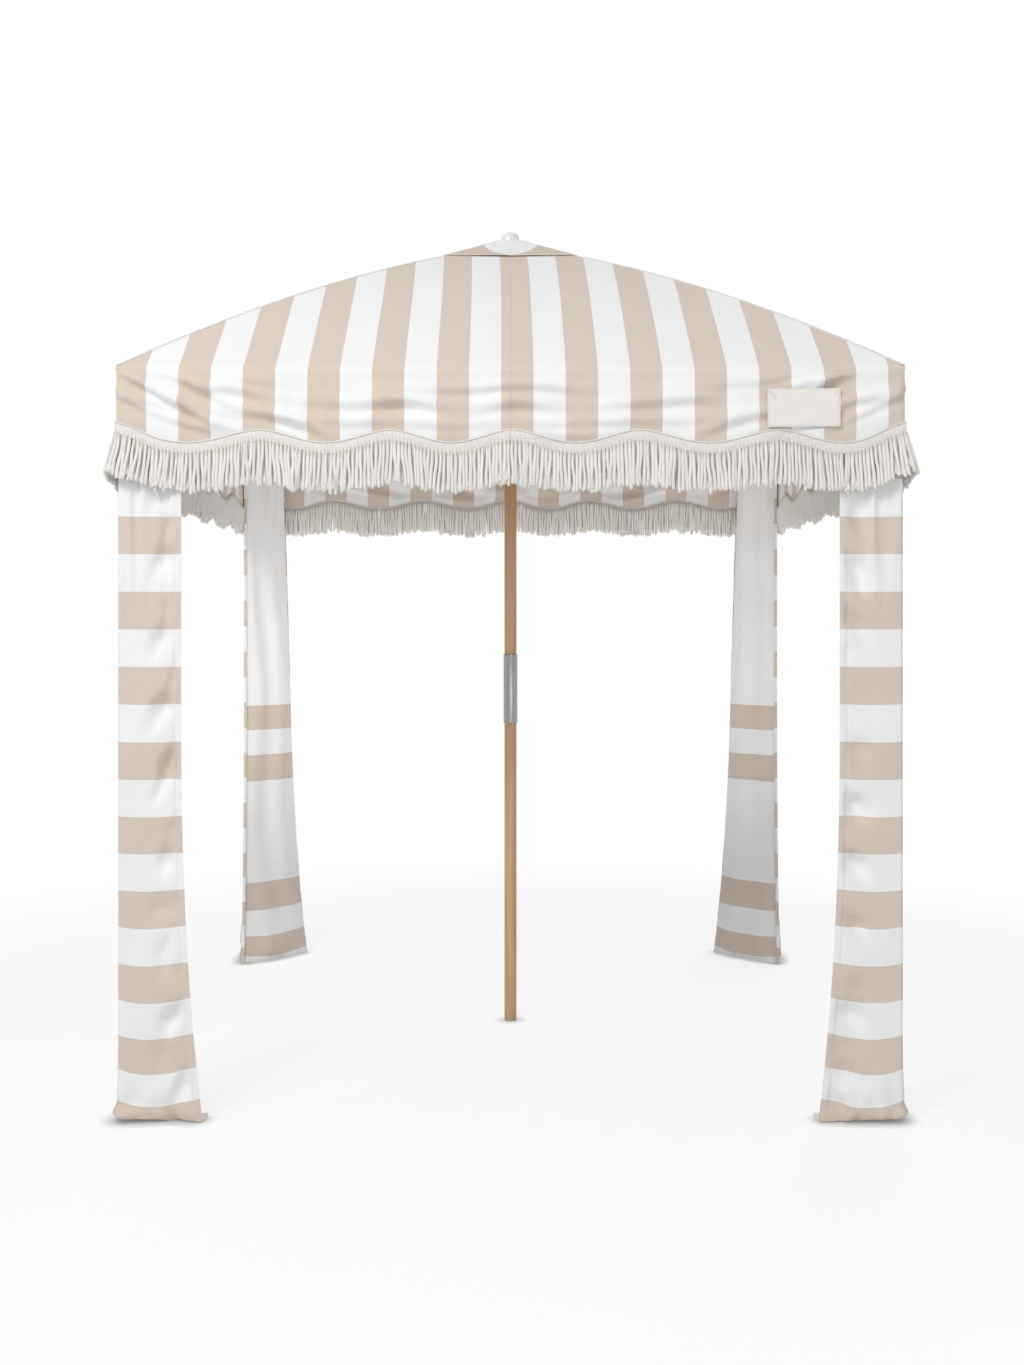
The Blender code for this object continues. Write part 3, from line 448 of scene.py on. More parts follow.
def soft_noise(seed, pitch, count=9):
    """A smooth uneven field over two lengths, about 1 at its highest."""
    chance = np.random.RandomState(seed)
    angles = chance.uniform(0, math.tau, count)
    pitches = pitch * chance.uniform(0.6, 1.7, count)
    phases = chance.uniform(0, math.tau, count)

    def field(across, along):
        total = 0
        for angle, width, phase in zip(angles, pitches, phases):
            run = across * math.cos(angle) + along * math.sin(angle)
            total = total + np.sin(math.tau * run / width + phase)
        return total / math.sqrt(count)

    return field


def bell(value, centre, width):
    return np.exp(-(((value - centre) / width) ** 2))


def rise(value, start, end):
    """A straight climb from 0 at start to 1 at end."""
    return np.clip((value - start) / (end - start), 0, 1)


def lay_uvs(mesh, **layers):
    """UV layers from a place for each point."""
    loops = np.zeros(len(mesh.loops), int)
    mesh.loops.foreach_get("vertex_index", loops)
    for layer, places in layers.items():
        mesh.uv_layers.new(name=layer).data.foreach_set("uv", places[loops].ravel())


def cloth_panel(name, points, weave, seam, thickness, outward, surface):
    """A grid of points made into cloth with its thickness inside, with UVs in metres."""
    rows, columns = points.shape[:2]
    normal = np.cross(np.gradient(points, axis=1), np.gradient(points, axis=0))
    normal /= np.linalg.norm(normal, axis=2, keepdims=True) + 1e-12
    turned = np.sum(normal.mean((0, 1)) * np.array(outward)) < 0
    if turned:
        normal = -normal
    inside = points - normal * thickness
    count = rows * columns
    index = np.arange(count).reshape(rows, columns)
    corners = (index[:-1, :-1], index[:-1, 1:], index[1:, 1:], index[1:, :-1])
    front = np.stack([part.ravel() for part in corners], 1)
    edge = np.concatenate((index[0, :-1], index[:-1, -1], index[-1, :0:-1], index[:0:-1, 0]))
    after = np.roll(edge, -1)
    rim = np.stack((after, edge, edge + count, after + count), 1)
    back = front[:, ::-1] + count
    quads = np.concatenate((front, back, rim))
    if turned:
        quads = quads[:, ::-1]
    mesh = bpy.data.meshes.new(name)
    mesh.from_pydata(np.concatenate((points.reshape(-1, 3), inside.reshape(-1, 3))), [], quads)
    layers = {}
    for layer, pair in (("weave", weave), ("seam", seam)):
        places = np.stack([np.broadcast_to(part, (rows, columns)) for part in pair], -1)
        layers[layer] = np.tile(places.reshape(-1, 2), (2, 1))
    lay_uvs(mesh, **layers)
    return piece_from(mesh, name, surface, 60)


def uv_place(tree, layer):
    """A UV layer, and both its lengths."""
    uv = add_node(tree, "ShaderNodeUVMap", uv_map=layer).outputs[0]
    parts = add_node(tree, "ShaderNodeSeparateXYZ", {0: uv}).outputs
    return uv, parts[0], parts[1]


def away_from(tree, value, centre):
    return maths(tree, "ABSOLUTE", maths(tree, "SUBTRACT", value, centre))


def ripple(tree, run, pitch):
    """A wave along a length."""
    return maths(tree, "SINE", times(tree, run, math.tau / pitch))


def striped(tree, across, first, second, period, shift):
    """Even stripes of two yarns, the first centred at shift, with edges a yarn wide."""
    turn = maths(tree, "FRACT", scaled(tree, across, 1 / period, 0.5 - shift / period))
    edge = YARN_EDGE / period
    share = ramp_between(tree, away_from(tree, turn, 0.5), 0.25 - edge, 0.25 + edge)
    return mix_colours(tree, share, first, second)


def sewn_canvas(name, paint, stitch_rows=(0.004, 0.011), relief=1.0, thread=THREAD):
    """Woven canvas with yarns, slubs, faint creases, and rows of stitches by its seams."""
    material, tree, shader = new_material(name, 0.88)
    uv, across, along = uv_place(tree, "weave")
    _, beside, run = uv_place(tree, "seam")
    cloud = speckle(tree, uv, 7, detail=4)
    warp = speckle(tree, uv, 900, (1, 0.03, 1), 2)
    weft = speckle(tree, uv, 900, (0.03, 1, 1), 2)
    yarns = maths(tree, "ADD", warp, weft)
    tone = scaled(tree, yarns, 0.07, scaled(tree, cloud, 0.06, 0.90))
    grey = add_node(tree, "ShaderNodeCombineColor", {0: tone, 1: tone, 2: tone}).outputs[0]
    colour = mix_colours(tree, 1.0, paint(tree, across, along), grey, "MULTIPLY")
    dash = maths(tree, "FRACT", times(tree, run, 1 / STITCH))
    stitch = ramp_between(tree, away_from(tree, dash, 0.5), 0.38, 0.30)
    sewn = 0.0
    for row in stitch_rows:
        line = ramp_between(tree, away_from(tree, beside, row), 0.0008, 0.0004)
        sewn = maths(tree, "MAXIMUM", sewn, times(tree, line, stitch))
    plain = times(tree, ripple(tree, across, YARN), ripple(tree, along, YARN))
    creases = speckle(tree, uv, 26, distortion=0.6)
    pucker = times(tree, ripple(tree, run, PUCKER), ramp_between(tree, beside, 0.030, 0.004))
    height = scaled(tree, yarns, 0.35, times(tree, plain, 0.12))
    height = scaled(tree, creases, 1.5 * relief, height)
    height = scaled(tree, pucker, 0.35, height)
    height = scaled(tree, sewn, 0.8, height)
    colour = tint(tree, colour, thread, sewn, 0.85)
    feed(tree, shader, {"Base Color": colour, "Roughness": scaled(tree, cloud, 0.10, 0.80)})
    feed(tree, shader, {"Sheen Weight": 0.12, "Sheen Roughness": 0.5, "Specular IOR Level": 0.22})
    raise_surface(tree, shader, height, 0.0007, 0.6)
    return material


def canopy_stripes(tree, across, along):
    return striped(tree, across, BEIGE, WHITE, 2 * STRIPE, STRIPE_SHIFT)


def roof_line():
    """Reach and height down a face, from the vent over the rounded eave."""
    reach = np.linspace(VENT_HALF, HALF_SIDE - EAVE_ROUNDING / 2, 40)
    height = roof_height(reach)
    slope = math.atan((ROOF_RISE + ROOF_BOW) / HALF_SIDE)
    turn = np.linspace(0, 1, 8)[1:]
    angle = slope + (math.pi / 2 - slope) * turn
    size = (HALF_SIDE - reach[-1]) / (1 - math.sin(slope))
    round_reach = reach[-1] + size * (np.sin(angle) - math.sin(slope))
    round_height = height[-1] - size * (math.cos(slope) - np.cos(angle))
    return np.append(reach, round_reach), np.append(height, round_height)


def ridge_squash(piece):
    """Give a half face of the canopy its own copy of its mesh."""
    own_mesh(piece)


canvas_roof = sewn_canvas("canopy_canvas", canopy_stripes)
roof_reach, roof_level = roof_line()
roof_run = np.append(0, np.cumsum(np.hypot(np.diff(roof_reach), np.diff(roof_level))))
valance_top = float(roof_level[-1]) - SEAM_GAP
half_shares = np.linspace(0, 1, 40)[None, :]
for number, face, side, corner in HALF_FACES:
    rumple = soft_noise(100 + number, 0.16)
    drift = soft_noise(140 + number, 0.55)
    reach = roof_reach[:, None] + 0 * half_shares
    across = side * half_shares * (reach - SEAM_GAP) + side * SEAM_GAP
    off_edge = rise(HALF_SIDE - reach, 0, 0.12) * rise(reach, VENT_HALF, VENT_HALF + 0.1)
    free = (1 - half_shares) ** 0.7 * off_edge
    fall = ROOF_SAG * free * np.sin(math.pi * reach / HALF_SIDE)
    fall = fall - free * (0.0012 * rumple(across, reach) + 0.0016 * drift(across, reach))
    near_eave = np.exp(-(HALF_SIDE - reach) / EAVE_SAG_REACH)
    level = roof_level[:, None] - fall - eave_sag(across / reach) * near_eave
    points = in_face(face, across, reach, level)
    run = roof_run[:, None] + 0 * half_shares
    beside = np.minimum((reach - np.abs(across)) * 0.72, np.abs(across))
    outward = face_frame(face)[0] * 0.5 + UP
    name = f"roof_cloth_{face}_{corner}"
    climb = rise(reach, HALF_SIDE, CAP_HALF) ** 2
    drawn = (across + STRIPES_DRIFT * climb) * (1 - STRIPES_SPREAD * climb)
    piece = cloth_panel(name, points, (drawn, run), (beside, run), CANVAS, outward, canvas_roof)
    hang_on(piece, f"rib_{corner}", [f"roof_{corner}"])
    ridge_squash(piece)

# Ridge seams: a bound seam of the canopy's cloth, folded over each ridge and stitched
# down on both sides.

BINDING_HALF = 0.0065
BINDING_RISE = 0.0011
BINDING_THICK = 0.0009
BINDING_CLOTH = (0.80, 0.78, 0.755)


def binding_paint(tree, across, along):
    return BINDING_CLOTH


canvas_binding = sewn_canvas("ridge_binding", binding_paint, (0.0015,), 0.4)
seam_reach = np.append(np.linspace(0.165, HALF_SIDE - 0.004, 60), HALF_SIDE - 0.0005)[:, None]
seam_share = np.linspace(0, 1, 6)[None, :]
inset = seam_share * BINDING_HALF * math.sqrt(2)
lift = BINDING_RISE * (1 - 0.35 * seam_share**3)
drop = np.arctan((ROOF_RISE + ROOF_BOW - 2 * ROOF_BOW * (1 - seam_reach / HALF_SIDE)) / HALF_SIDE)
soft = 0.5 * BINDING_RISE * bell(seam_share, 0, 0.3)
tip = np.sin(drop) * lift * np.minimum(1, seam_share * 4)
level = roof_height(seam_reach) + np.cos(drop) * lift - soft
width = seam_share * BINDING_HALF + 0 * seam_reach
run = seam_reach * 1.5 + 0 * width
for number, face, side, corner in HALF_FACES:
    name = f"ridge_seam_{face}_{corner}"
    points = in_face(face, side * (seam_reach - inset), seam_reach + tip, level)
    seam = BINDING_HALF - width, run
    binding = cloth_panel(name, points, (width, run), seam, BINDING_THICK, UP, canvas_binding)
    hang_on(binding, f"rib_{corner}", ())
    ridge_squash(binding)

# Vent cap: a small beige pyramid with a turned and stitched hem that shades the vent.
# A white lobe is sewn on each face, from the round crown patch down to the hem.

CAP_HOLE = 0.012
CAP_CROWN = 0.032
CAP_RISE = 0.0924
CAP_STAND = 0.0033
CAP_CLOTH = (0.665, 0.560, 0.480)
LOBE_SEAM = (0.55, 0.53, 0.51)
LOBE_CENTRE = 0.055
LOBE_HALF_WIDTH = 0.078
LOBE_POWER = 1.7
LOBE_LONG = 0.129
LOBE_THICK = 0.0007


def cap_height(reach):
    hem = roof_height(CAP_HALF) + CAP_STAND
    return hem + CAP_RISE * (1 - np.maximum(reach, CAP_CROWN) / CAP_HALF)


def cap_paint(tree, across, along):
    """White inside the lobe's rounded outline, beige outside."""
    wide = maths(tree, "DIVIDE", maths(tree, "ABSOLUTE", across), LOBE_HALF_WIDTH)
    wide = maths(tree, "POWER", wide, LOBE_POWER)
    down = maths(tree, "DIVIDE", maths(tree, "SUBTRACT", along, LOBE_CENTRE), LOBE_LONG)
    down = maths(tree, "POWER", maths(tree, "MAXIMUM", down, 0.0), 2.0)
    outline = maths(tree, "ADD", wide, down)
    inside = ramp_between(tree, outline, 1.02, 0.99)
    seam = times(tree, ramp_between(tree, outline, 0.90, 0.97), inside)
    colour = mix_colours(tree, inside, CAP_CLOTH, WHITE)
    return tint(tree, colour, LOBE_SEAM, seam, 0.35)


canvas_cap = sewn_canvas("vent_cap_canvas", cap_paint, (0.005,), 0.6)
crown_reach = np.linspace(CAP_HOLE, CAP_CROWN, 4)[:-1]
cap_reach = np.concatenate((crown_reach, np.linspace(CAP_CROWN, CAP_HALF, 26)))
cap_reach = np.append(cap_reach, [CAP_HALF + 0.0012, CAP_HALF + 0.0010])
cap_level = cap_height(np.minimum(cap_reach, CAP_HALF))
cap_level[-2] -= 0.0010
cap_level[-1] -= 0.0022
# Every second column, so the last one lies a little short of the ridge
cap_shares = half_shares[:, ::2]
for number, face, side, corner in HALF_FACES:
    rumple = soft_noise(200 + number, 0.09)
    reach = cap_reach[:, None] + 0 * cap_shares
    across = side * cap_shares * (reach - SEAM_GAP) + side * SEAM_GAP
    lobe = (np.abs(across) / LOBE_HALF_WIDTH) ** LOBE_POWER
    lobe = lobe + np.clip((reach - LOBE_CENTRE) / LOBE_LONG, 0, 9) ** 2
    applique = LOBE_THICK / (1 + np.exp((lobe - 1) * 30)) * (reach < CAP_HALF - 0.001)
    free = (1 - cap_shares) * rise(reach, 0.04, 0.09)
    level = cap_level[:, None] + applique + 0.0009 * free * rumple(across, reach)
    points = in_face(face, across, reach, level)
    beside = np.minimum(CAP_HALF - reach, (reach - np.abs(across)) * 0.72)
    outward = face_frame(face)[0] * 0.5 + UP
    name = f"cap_cloth_{face}_{corner}"
    piece = cloth_panel(name, points, (across, reach), (beside, across), CANVAS, outward, canvas_cap)
    hang_on(piece, f"rib_{corner}", [f"vent_cap_{corner}"])
    ridge_squash(piece)

# Crown patch: a round patch of white canvas with a turned edge, clamped under the
# finial over the top of the cap.

PATCH_RADIUS = 0.072
PATCH_HOLE = 0.0045
PATCH_STAND = 0.0018
PATCH_THICK = 0.0012
PATCH_THREAD = (0.80, 0.79, 0.77)


def patch_paint(tree, across, along):
    return WHITE


canvas_patch = sewn_canvas("crown_patch_canvas", patch_paint, (0.004,), 0.5, PATCH_THREAD)
patch_radius = np.linspace(PATCH_HOLE, PATCH_RADIUS, 14)[:, None]
patch_angle = np.linspace(0, math.tau, 97)[None, :]
x, y = patch_radius * np.cos(patch_angle), patch_radius * np.sin(patch_angle)
patch_reach = np.maximum(np.maximum(np.abs(x), np.abs(y)), CAP_CROWN)
patch_level = cap_height(patch_reach) + PATCH_STAND + 0.0004 * soft_noise(230, 0.05)(x, y)
points = np.stack((x, y, patch_level), -1)
points[:, -1] = points[:, 0]
seam = PATCH_RADIUS - patch_radius, patch_angle * PATCH_RADIUS
crown_patch = cloth_panel("crown_patch_cloth", points, (x, y), seam, PATCH_THICK, UP, canvas_patch)
hang_on(crown_patch, "mast", ["crown_patch"])

# Finial: a turned white dome with a small foot flange, on the bolt that clamps the
# crown patch, the cap and the hub to the pole.

FINIAL_BOLT = 0.0040
FINIAL_EDGE = 0.0006
FINIAL_FLANGE = 0.0022
FINIAL_NECK = 0.0009
DOME_STEPS = 18
gloss_white = moulded_nylon("lacquered_white", (0.80, 0.80, 0.805), (0.76, 0.76, 0.77), 0.24)
dome_low, dome_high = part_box("finial")
dome_radius = dome_high.x
dome_base = dome_high.z - dome_radius
flange_top = dome_base + FINIAL_FLANGE
dome_start = flange_top + 0.0010
dome_profile = [
    (0, dome_low.z),
    (FINIAL_BOLT - FINIAL_EDGE, dome_low.z),
    (FINIAL_BOLT, dome_low.z + FINIAL_EDGE),
    (FINIAL_BOLT, dome_base),
    (dome_radius - 0.0010, dome_base),
    (dome_radius, dome_base + FINIAL_EDGE),
    (dome_radius, flange_top),
    (dome_radius - 0.0005, flange_top + FINIAL_EDGE),
    (dome_radius - FINIAL_NECK, dome_start),
]
for step in range(1, DOME_STEPS):
    angle = math.pi / 2 * step / DOME_STEPS
    width = (dome_radius - FINIAL_NECK) * math.cos(angle) ** 0.92
    dome_profile.append((width, dome_start + (dome_high.z - dome_start) * math.sin(angle)))
dome_profile.append((0, dome_high.z))
hang_on(turned_piece("finial_dome", dome_profile, gloss_white), "mast", ["finial"])

# Valance: the same canvas, hanging from the eave to the scalloped trim. It drags in
# slanting folds from its corners, which run out level towards the middle of a side.

SCALLOP_PLACES = (-0.900, -0.571, -0.272, 0.003, 0.295, 0.612, 0.900)
PEAK = 1.581
DEPTH = 0.029
CORNER_LIFT = 0.018
CORNER_REACH = 0.10
CORNER_BEND = 0.006
BRAID_HEIGHT = 0.027
LABEL_FACE = 0
LABEL_MIDDLE = (0.667, 1.629)
SIDE_FOLDS = 0.35
TUCK = ((0.007, 0.0030), (0.003, 0.0016))
DRAG_FOLDS = (
    # height at the middle, rise to the corner, where the rise starts, power, width, depth
    (1.518, 0.200, 0.50, 1.4, 0.0120, 0.0150),
    (1.567, 0.187, 0.40, 1.3, 0.0150, 0.0125),
    (1.470, 0.190, 0.40, 1.2, 0.0120, 0.0090),
    (1.683, 0.060, 0.25, 2.0, 0.0140, 0.0080),
    (1.648, 0.075, 0.25, 2.0, 0.0170, 0.0110),
    (1.607, 0.060, 0.25, 2.0, 0.0150, 0.0120),
)


def scallop_place(across):
    """Number of scallops passed on the way across a side."""
    return np.interp(across, SCALLOP_PLACES, range(len(SCALLOP_PLACES)))


def trim_height(across):
    """Top edge of the braid along a side: peaks between scallops, lifted at the corners."""
    wave = ((1 - np.cos(math.tau * scallop_place(across))) / 2) ** 0.85
    lift = CORNER_LIFT * np.clip(1 - (HALF_SIDE - np.abs(across)) / CORNER_REACH, 0, 1) ** 1.3
    return PEAK - DEPTH * wave + lift


def valance_out(number, across, height):
    """How far the valance stands out from its plane, from its folds."""
    far = np.abs(across) / HALF_SIDE
    fade = np.clip((valance_top - eave_sag(far) - height) / 0.020, 0, 1)
    level = soft_noise(300 + number, 0.9, 5)(across, across * 0)
    total = 0
    for fold, (middle, climb, start, power, width, depth) in enumerate(DRAG_FOLDS):
        chance = soft_noise(320 + 10 * number + fold, 0.36, 6)(across, across * 0 + fold)
        strength = np.clip(0.60 + 0.66 * chance, 0.0, 1.4)
        line = middle + climb * rise(far, start, 1) ** power + 0.005 * level + 0.010 * chance
        hollow = 0.55 * bell(height, line - 1.35 * width, 0.7 * width)
        total = total + depth * strength * (bell(height, line, width) - hollow)
    wave = 0.0035 * np.sin(math.tau * across / 0.205 + number) * np.clip(1 - far * 1.15, 0, 1)
    hang = np.clip((valance_top - height) / 0.13, 0, 1) ** 1.5
    total = total + hang * (0.0035 + wave) + 0.0010 * soft_noise(360 + number, 0.07)(across, height)
    if number == LABEL_FACE:
        beside_label = np.clip(1.2 - np.abs(across - LABEL_MIDDLE[0]) / 0.115, 0, 1)
        by_label = np.clip(1.3 - np.abs(height - LABEL_MIDDLE[1]) / 0.070, 0, 1)
        total = total * (1 - 0.65 * beside_label * by_label)
    if number % 2:
        total = total * SIDE_FOLDS
    total = total * (0.2 + 0.8 * np.clip((height - trim_height(across)) / 0.030, 0, 1))
    leg_side = np.clip((np.abs(across) - 0.70) / 0.05, 0, 1)
    total = np.where(total < 0, total * (1 - 0.85 * leg_side), total)
    at_corner = np.clip((HALF_SIDE - np.abs(across)) / 0.02, 0, 1)
    return total * fade * at_corner


def corner_place(across, reach, stand=0.0):
    """Points round a side whose ends turn a soft corner into the next side."""
    near = np.clip((np.abs(across) - (HALF_SIDE + stand - CORNER_BEND)) / CORNER_BEND, 0, 1)
    pull = CORNER_BEND * 0.29 * near**2
    return across - np.sign(across) * pull, reach - pull


def side_gather(piece):
    """Give a piece on a half side its own copy of its mesh."""
    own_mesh(piece)


def with_first_rows(grid, count):
    """A grid with its first row repeated above it."""
    return np.concatenate((np.repeat(grid[:1], count, 0), grid))


canvas_valance = sewn_canvas("valance_canvas", canopy_stripes, (0.004,))
valance_pieces = {}
shares = np.linspace(0, 1, 120)[None, :]
down = np.linspace(0, 1, 34)[:, None]
for number, face, side, corner in HALF_FACES:
    across = side * (SEAM_GAP + (HALF_SIDE - SEAM_GAP) * shares)
    bottom = trim_height(across) - BRAID_HEIGHT * 0.6
    top = valance_top - eave_sag(across / HALF_SIDE)
    height = top + (bottom - top) * down
    across = across + 0 * down
    bent, reach = corner_place(across, HALF_SIDE + valance_out(number, across, height))
    points = [in_face(face, bent, reach, height)]
    run = valance_top - height
    runs = [run]
    for above, inset in reversed(TUCK):
        row = in_face(face, across[:1] * (1 - inset), reach[:1] - inset, height[:1] + above)
        points.insert(0, row)
        runs.insert(0, run[:1] - above)
    across = with_first_rows(across, len(TUCK))
    height = with_first_rows(height, len(TUCK))
    over_trim = height - trim_height(across)
    beside = np.minimum(np.minimum(HALF_SIDE - np.abs(across), np.abs(across)), over_trim)
    beside = np.where(over_trim < 0, 0.05, np.abs(beside))
    valance_pieces[face, corner] = cloth_panel(
        f"valance_cloth_{face}_{corner}",
        np.concatenate(points),
        (across, np.concatenate(runs)),
        (beside, across),
        CANVAS,
        face_frame(face)[0],
        canvas_valance,
    )
    hang_on(valance_pieces[face, corner], f"corner_{corner}", [f"valance_{corner}"])

# Braid: a woven cotton heading, sewn over the valance's scalloped edge with a corded
# upper rim. The fringe is looped out of its lower edge.

BRAID_THICK = 0.0016
BRAID_OVERLAP = 0.0015
STRAND_PITCH = 0.0086
COTTON = (0.890, 0.855, 0.812)
COTTON_SHADE = (0.600, 0.545, 0.490)
COTTON_LINE = (0.42, 0.35, 0.29)
COTTON_RIM = (0.84, 0.82, 0.79)
# Painted shade between the strands' roots at the braid's lower edge
COTTON_GAP_SHADE = (0.50, 0.44, 0.38)
BRAID_ROWS = (
    # drop below the upper edge, stand from the cloth
    (0.0, 0.0004),
    (-0.0006, 0.0016),
    (0.0006, 0.0026),
    (0.0022, 0.0026),
    (0.0034, 0.0012),
    (0.0060, 0.0019),
    (0.010, 0.0022),
    (0.014, 0.0020),
    (0.018, 0.0023),
    (0.022, 0.0020),
    (0.0255, 0.0022),
    (BRAID_HEIGHT, 0.0012),
)


def cotton_braid():
    material, tree, shader = new_material("cotton_braid", 0.92)
    uv, across, along = uv_place(tree, "weave")
    knit = times(tree, ripple(tree, along, 0.0046), ripple(tree, across, 0.0034))
    lumps = speckle(tree, uv, 130)
    shade = ramp_between(tree, scaled(tree, knit, 0.22, lumps), 0.48, 0.24)
    line = ramp_between(tree, along, 0.0020, 0.0030)
    line = times(tree, line, ramp_between(tree, along, 0.0052, 0.0040))
    edge = ramp_between(tree, along, 0.0034, 0.0016)
    # Painted shade in the gaps between the ribs low on the braid, where the strands start
    ribs = ripple(tree, across, STRAND_PITCH)
    low = ramp_between(tree, along, 0.010, 0.024)
    gap_shade = times(tree, ramp_between(tree, ribs, -0.35, -0.95), low)
    colour = tint(tree, COTTON, COTTON_SHADE, shade, 0.55)
    colour = tint(tree, colour, COTTON_LINE, line, 0.55)
    colour = tint(tree, colour, COTTON_RIM, edge, 0.6)
    colour = tint(tree, colour, COTTON_GAP_SHADE, gap_shade, 0.45)
    feed(tree, shader, {"Base Color": colour, "Sheen Weight": 0.2, "Specular IOR Level": 0.2})
    raise_surface(tree, shader, scaled(tree, knit, 0.5, lumps), 0.0009, 0.8)
    return material


braid_cotton = cotton_braid()
trim_pieces = {}
shares = np.linspace(0, 1, 150)[None, :]
drops, stands = [np.array(column)[:, None] for column in zip(*BRAID_ROWS)]
for number, face, side, corner in HALF_FACES:
    across = side * (SEAM_GAP + (HALF_SIDE - SEAM_GAP + BRAID_OVERLAP) * shares)
    top = trim_height(across)
    height = top - drops
    across = across + 0 * drops
    ribbed = 0.0006 * np.sin(math.tau * across / STRAND_PITCH) * rise(drops, 0.008, 0.020)
    cloth_height = np.maximum(height, top - BRAID_HEIGHT * 0.55)
    reach = HALF_SIDE + valance_out(number, across, cloth_height) + (stands + ribbed)
    wide = across * (1 + stands / HALF_SIDE * (np.abs(across) > HALF_SIDE - 0.02))
    bent, reach = corner_place(wide, reach, 0.002)
    braid = cloth_panel(
        f"braid_{face}_{corner}",
        in_face(face, bent, reach, height),
        (across, drops),
        (drops, across),
        BRAID_THICK,
        face_frame(face)[0],
        braid_cotton,
    )
    hang_on(braid, f"corner_{corner}", ())
    side_gather(braid)
    trim_pieces[face, corner] = [braid]

# Fringe: loops of thick twisted cotton that hang from the braid in two rows, uneven,
# a little wavy, and swung outwards at the corners.

STRAND_RADIUS = 0.0043
FRINGE_DROP = 0.096
FRINGE_FLARE = 0.008
CORNER_FLARE = 0.015
FLARE_REACH = 0.13
STRAND_DOWN = np.array([0, 0.12, 0.27, 0.43, 0.59, 0.75, 0.89, 0.965, 1.0])
STRAND_SWELL = np.array([0.75, 0.92, 1.0, 1.0, 0.98, 1.0, 1.10, 1.12, 0.74])
RINGS = len(STRAND_DOWN)
STRAND_SIDES = 6
TWIST = 0.0065
FRINGE_PALE = (0.935, 0.900, 0.858)
FRINGE_SHADE = (0.76, 0.70, 0.64)
FRINGE_YELLOWED = (0.78, 0.73, 0.68)
# Painted shade at the strands' tops, under the braid
FRINGE_SHADE_UNDER_BRAID = (0.45, 0.39, 0.34)


def twisted_cotton():
    material, tree, shader = new_material("twisted_cotton", 0.95)
    uv, across, along = uv_place(tree, "weave")
    _, drop, own = uv_place(tree, "seam")
    ply = ripple(tree, scaled(tree, along, 1 / TWIST, times(tree, across, 2.0)), 1)
    fibres = speckle(tree, uv, 60, (1, 8, 1))
    shade = ramp_between(tree, scaled(tree, ply, 0.18, fibres), 0.52, 0.22)
    colour = tint(tree, FRINGE_PALE, FRINGE_SHADE, shade, 0.32)
    colour = tint(tree, colour, FRINGE_YELLOWED, own, 0.22)
    # Painted shade over the top 20 mm of each strand, where the braid shades it
    colour = tint(tree, colour, FRINGE_SHADE_UNDER_BRAID, ramp_between(tree, drop, 0.020, 0.0), 0.25)
    feed(tree, shader, {"Base Color": colour, "Sheen Weight": 0.25, "Specular IOR Level": 0.15})
    feed(tree, shader, {"Subsurface Weight": 0.35, "Subsurface Radius": (1.0, 0.9, 0.8)})
    feed(tree, shader, {"Subsurface Scale": 0.004})
    raise_surface(tree, shader, scaled(tree, ply, 0.5, fibres), 0.0008, 0.8)
    return material


def fringe_row(chance, number, side, layer):
    """Centre lines, thicknesses and shades of the strands of one row of a half side."""
    count = int((HALF_SIDE + 0.004) / STRAND_PITCH)
    pitch = (HALF_SIDE + 0.004) / count
    starts = (np.arange(count) + 0.5 + 0.5 * layer) * pitch + chance.normal(0, 0.0009, count)
    starts = np.clip(starts, 0.0025, HALF_SIDE + 0.0025)
    across = side * starts
    lean = 0.0035 * soft_noise(chance.randint(1000), 0.10, 6)(starts, starts * 0)
    lean = lean + chance.normal(0, 0.0018, count)
    lean = lean * np.clip(starts / 0.06, 0.15, 1)
    swing = 0.0035 * soft_noise(chance.randint(1000), 0.07, 6)(starts, starts * 0)
    near = np.clip(1 - (HALF_SIDE - starts) / FLARE_REACH, 0, 1)
    long = FRINGE_DROP + chance.normal(0, 0.0035, count) - 0.006 * near - 0.006 * layer
    long += 0.006 * np.cos(math.tau * scallop_place(across))
    thick = STRAND_RADIUS * chance.uniform(0.82, 1.12, count)
    top = trim_height(across) - BRAID_HEIGHT + 0.002
    base = HALF_SIDE + valance_out(number, across, top + BRAID_HEIGHT * 0.5)
    down = STRAND_DOWN[None, :]
    wave = chance.uniform(-0.0022, 0.0022, count)[:, None] * np.sin(math.pi * 2 * down)
    sideways = across[:, None] + (lean[:, None] + side * 0.012 * near[:, None]) * down**1.4 + wave
    out = (FRINGE_FLARE + CORNER_FLARE * near + swing)[:, None] * down**1.3
    curve = 0.0035 * np.sin(math.pi * down) * (1 - 2 * layer)
    reach = base[:, None] + 0.0008 + out + curve - 0.0030 * layer
    # Strands past the corner turn with it
    over = np.clip(np.abs(sideways) - (HALF_SIDE + 0.012), 0, 1)
    reach = reach - over * 0.5
    height = top[:, None] - long[:, None] * down
    return sideways, reach, height, thick, chance.uniform(0, 1, count)


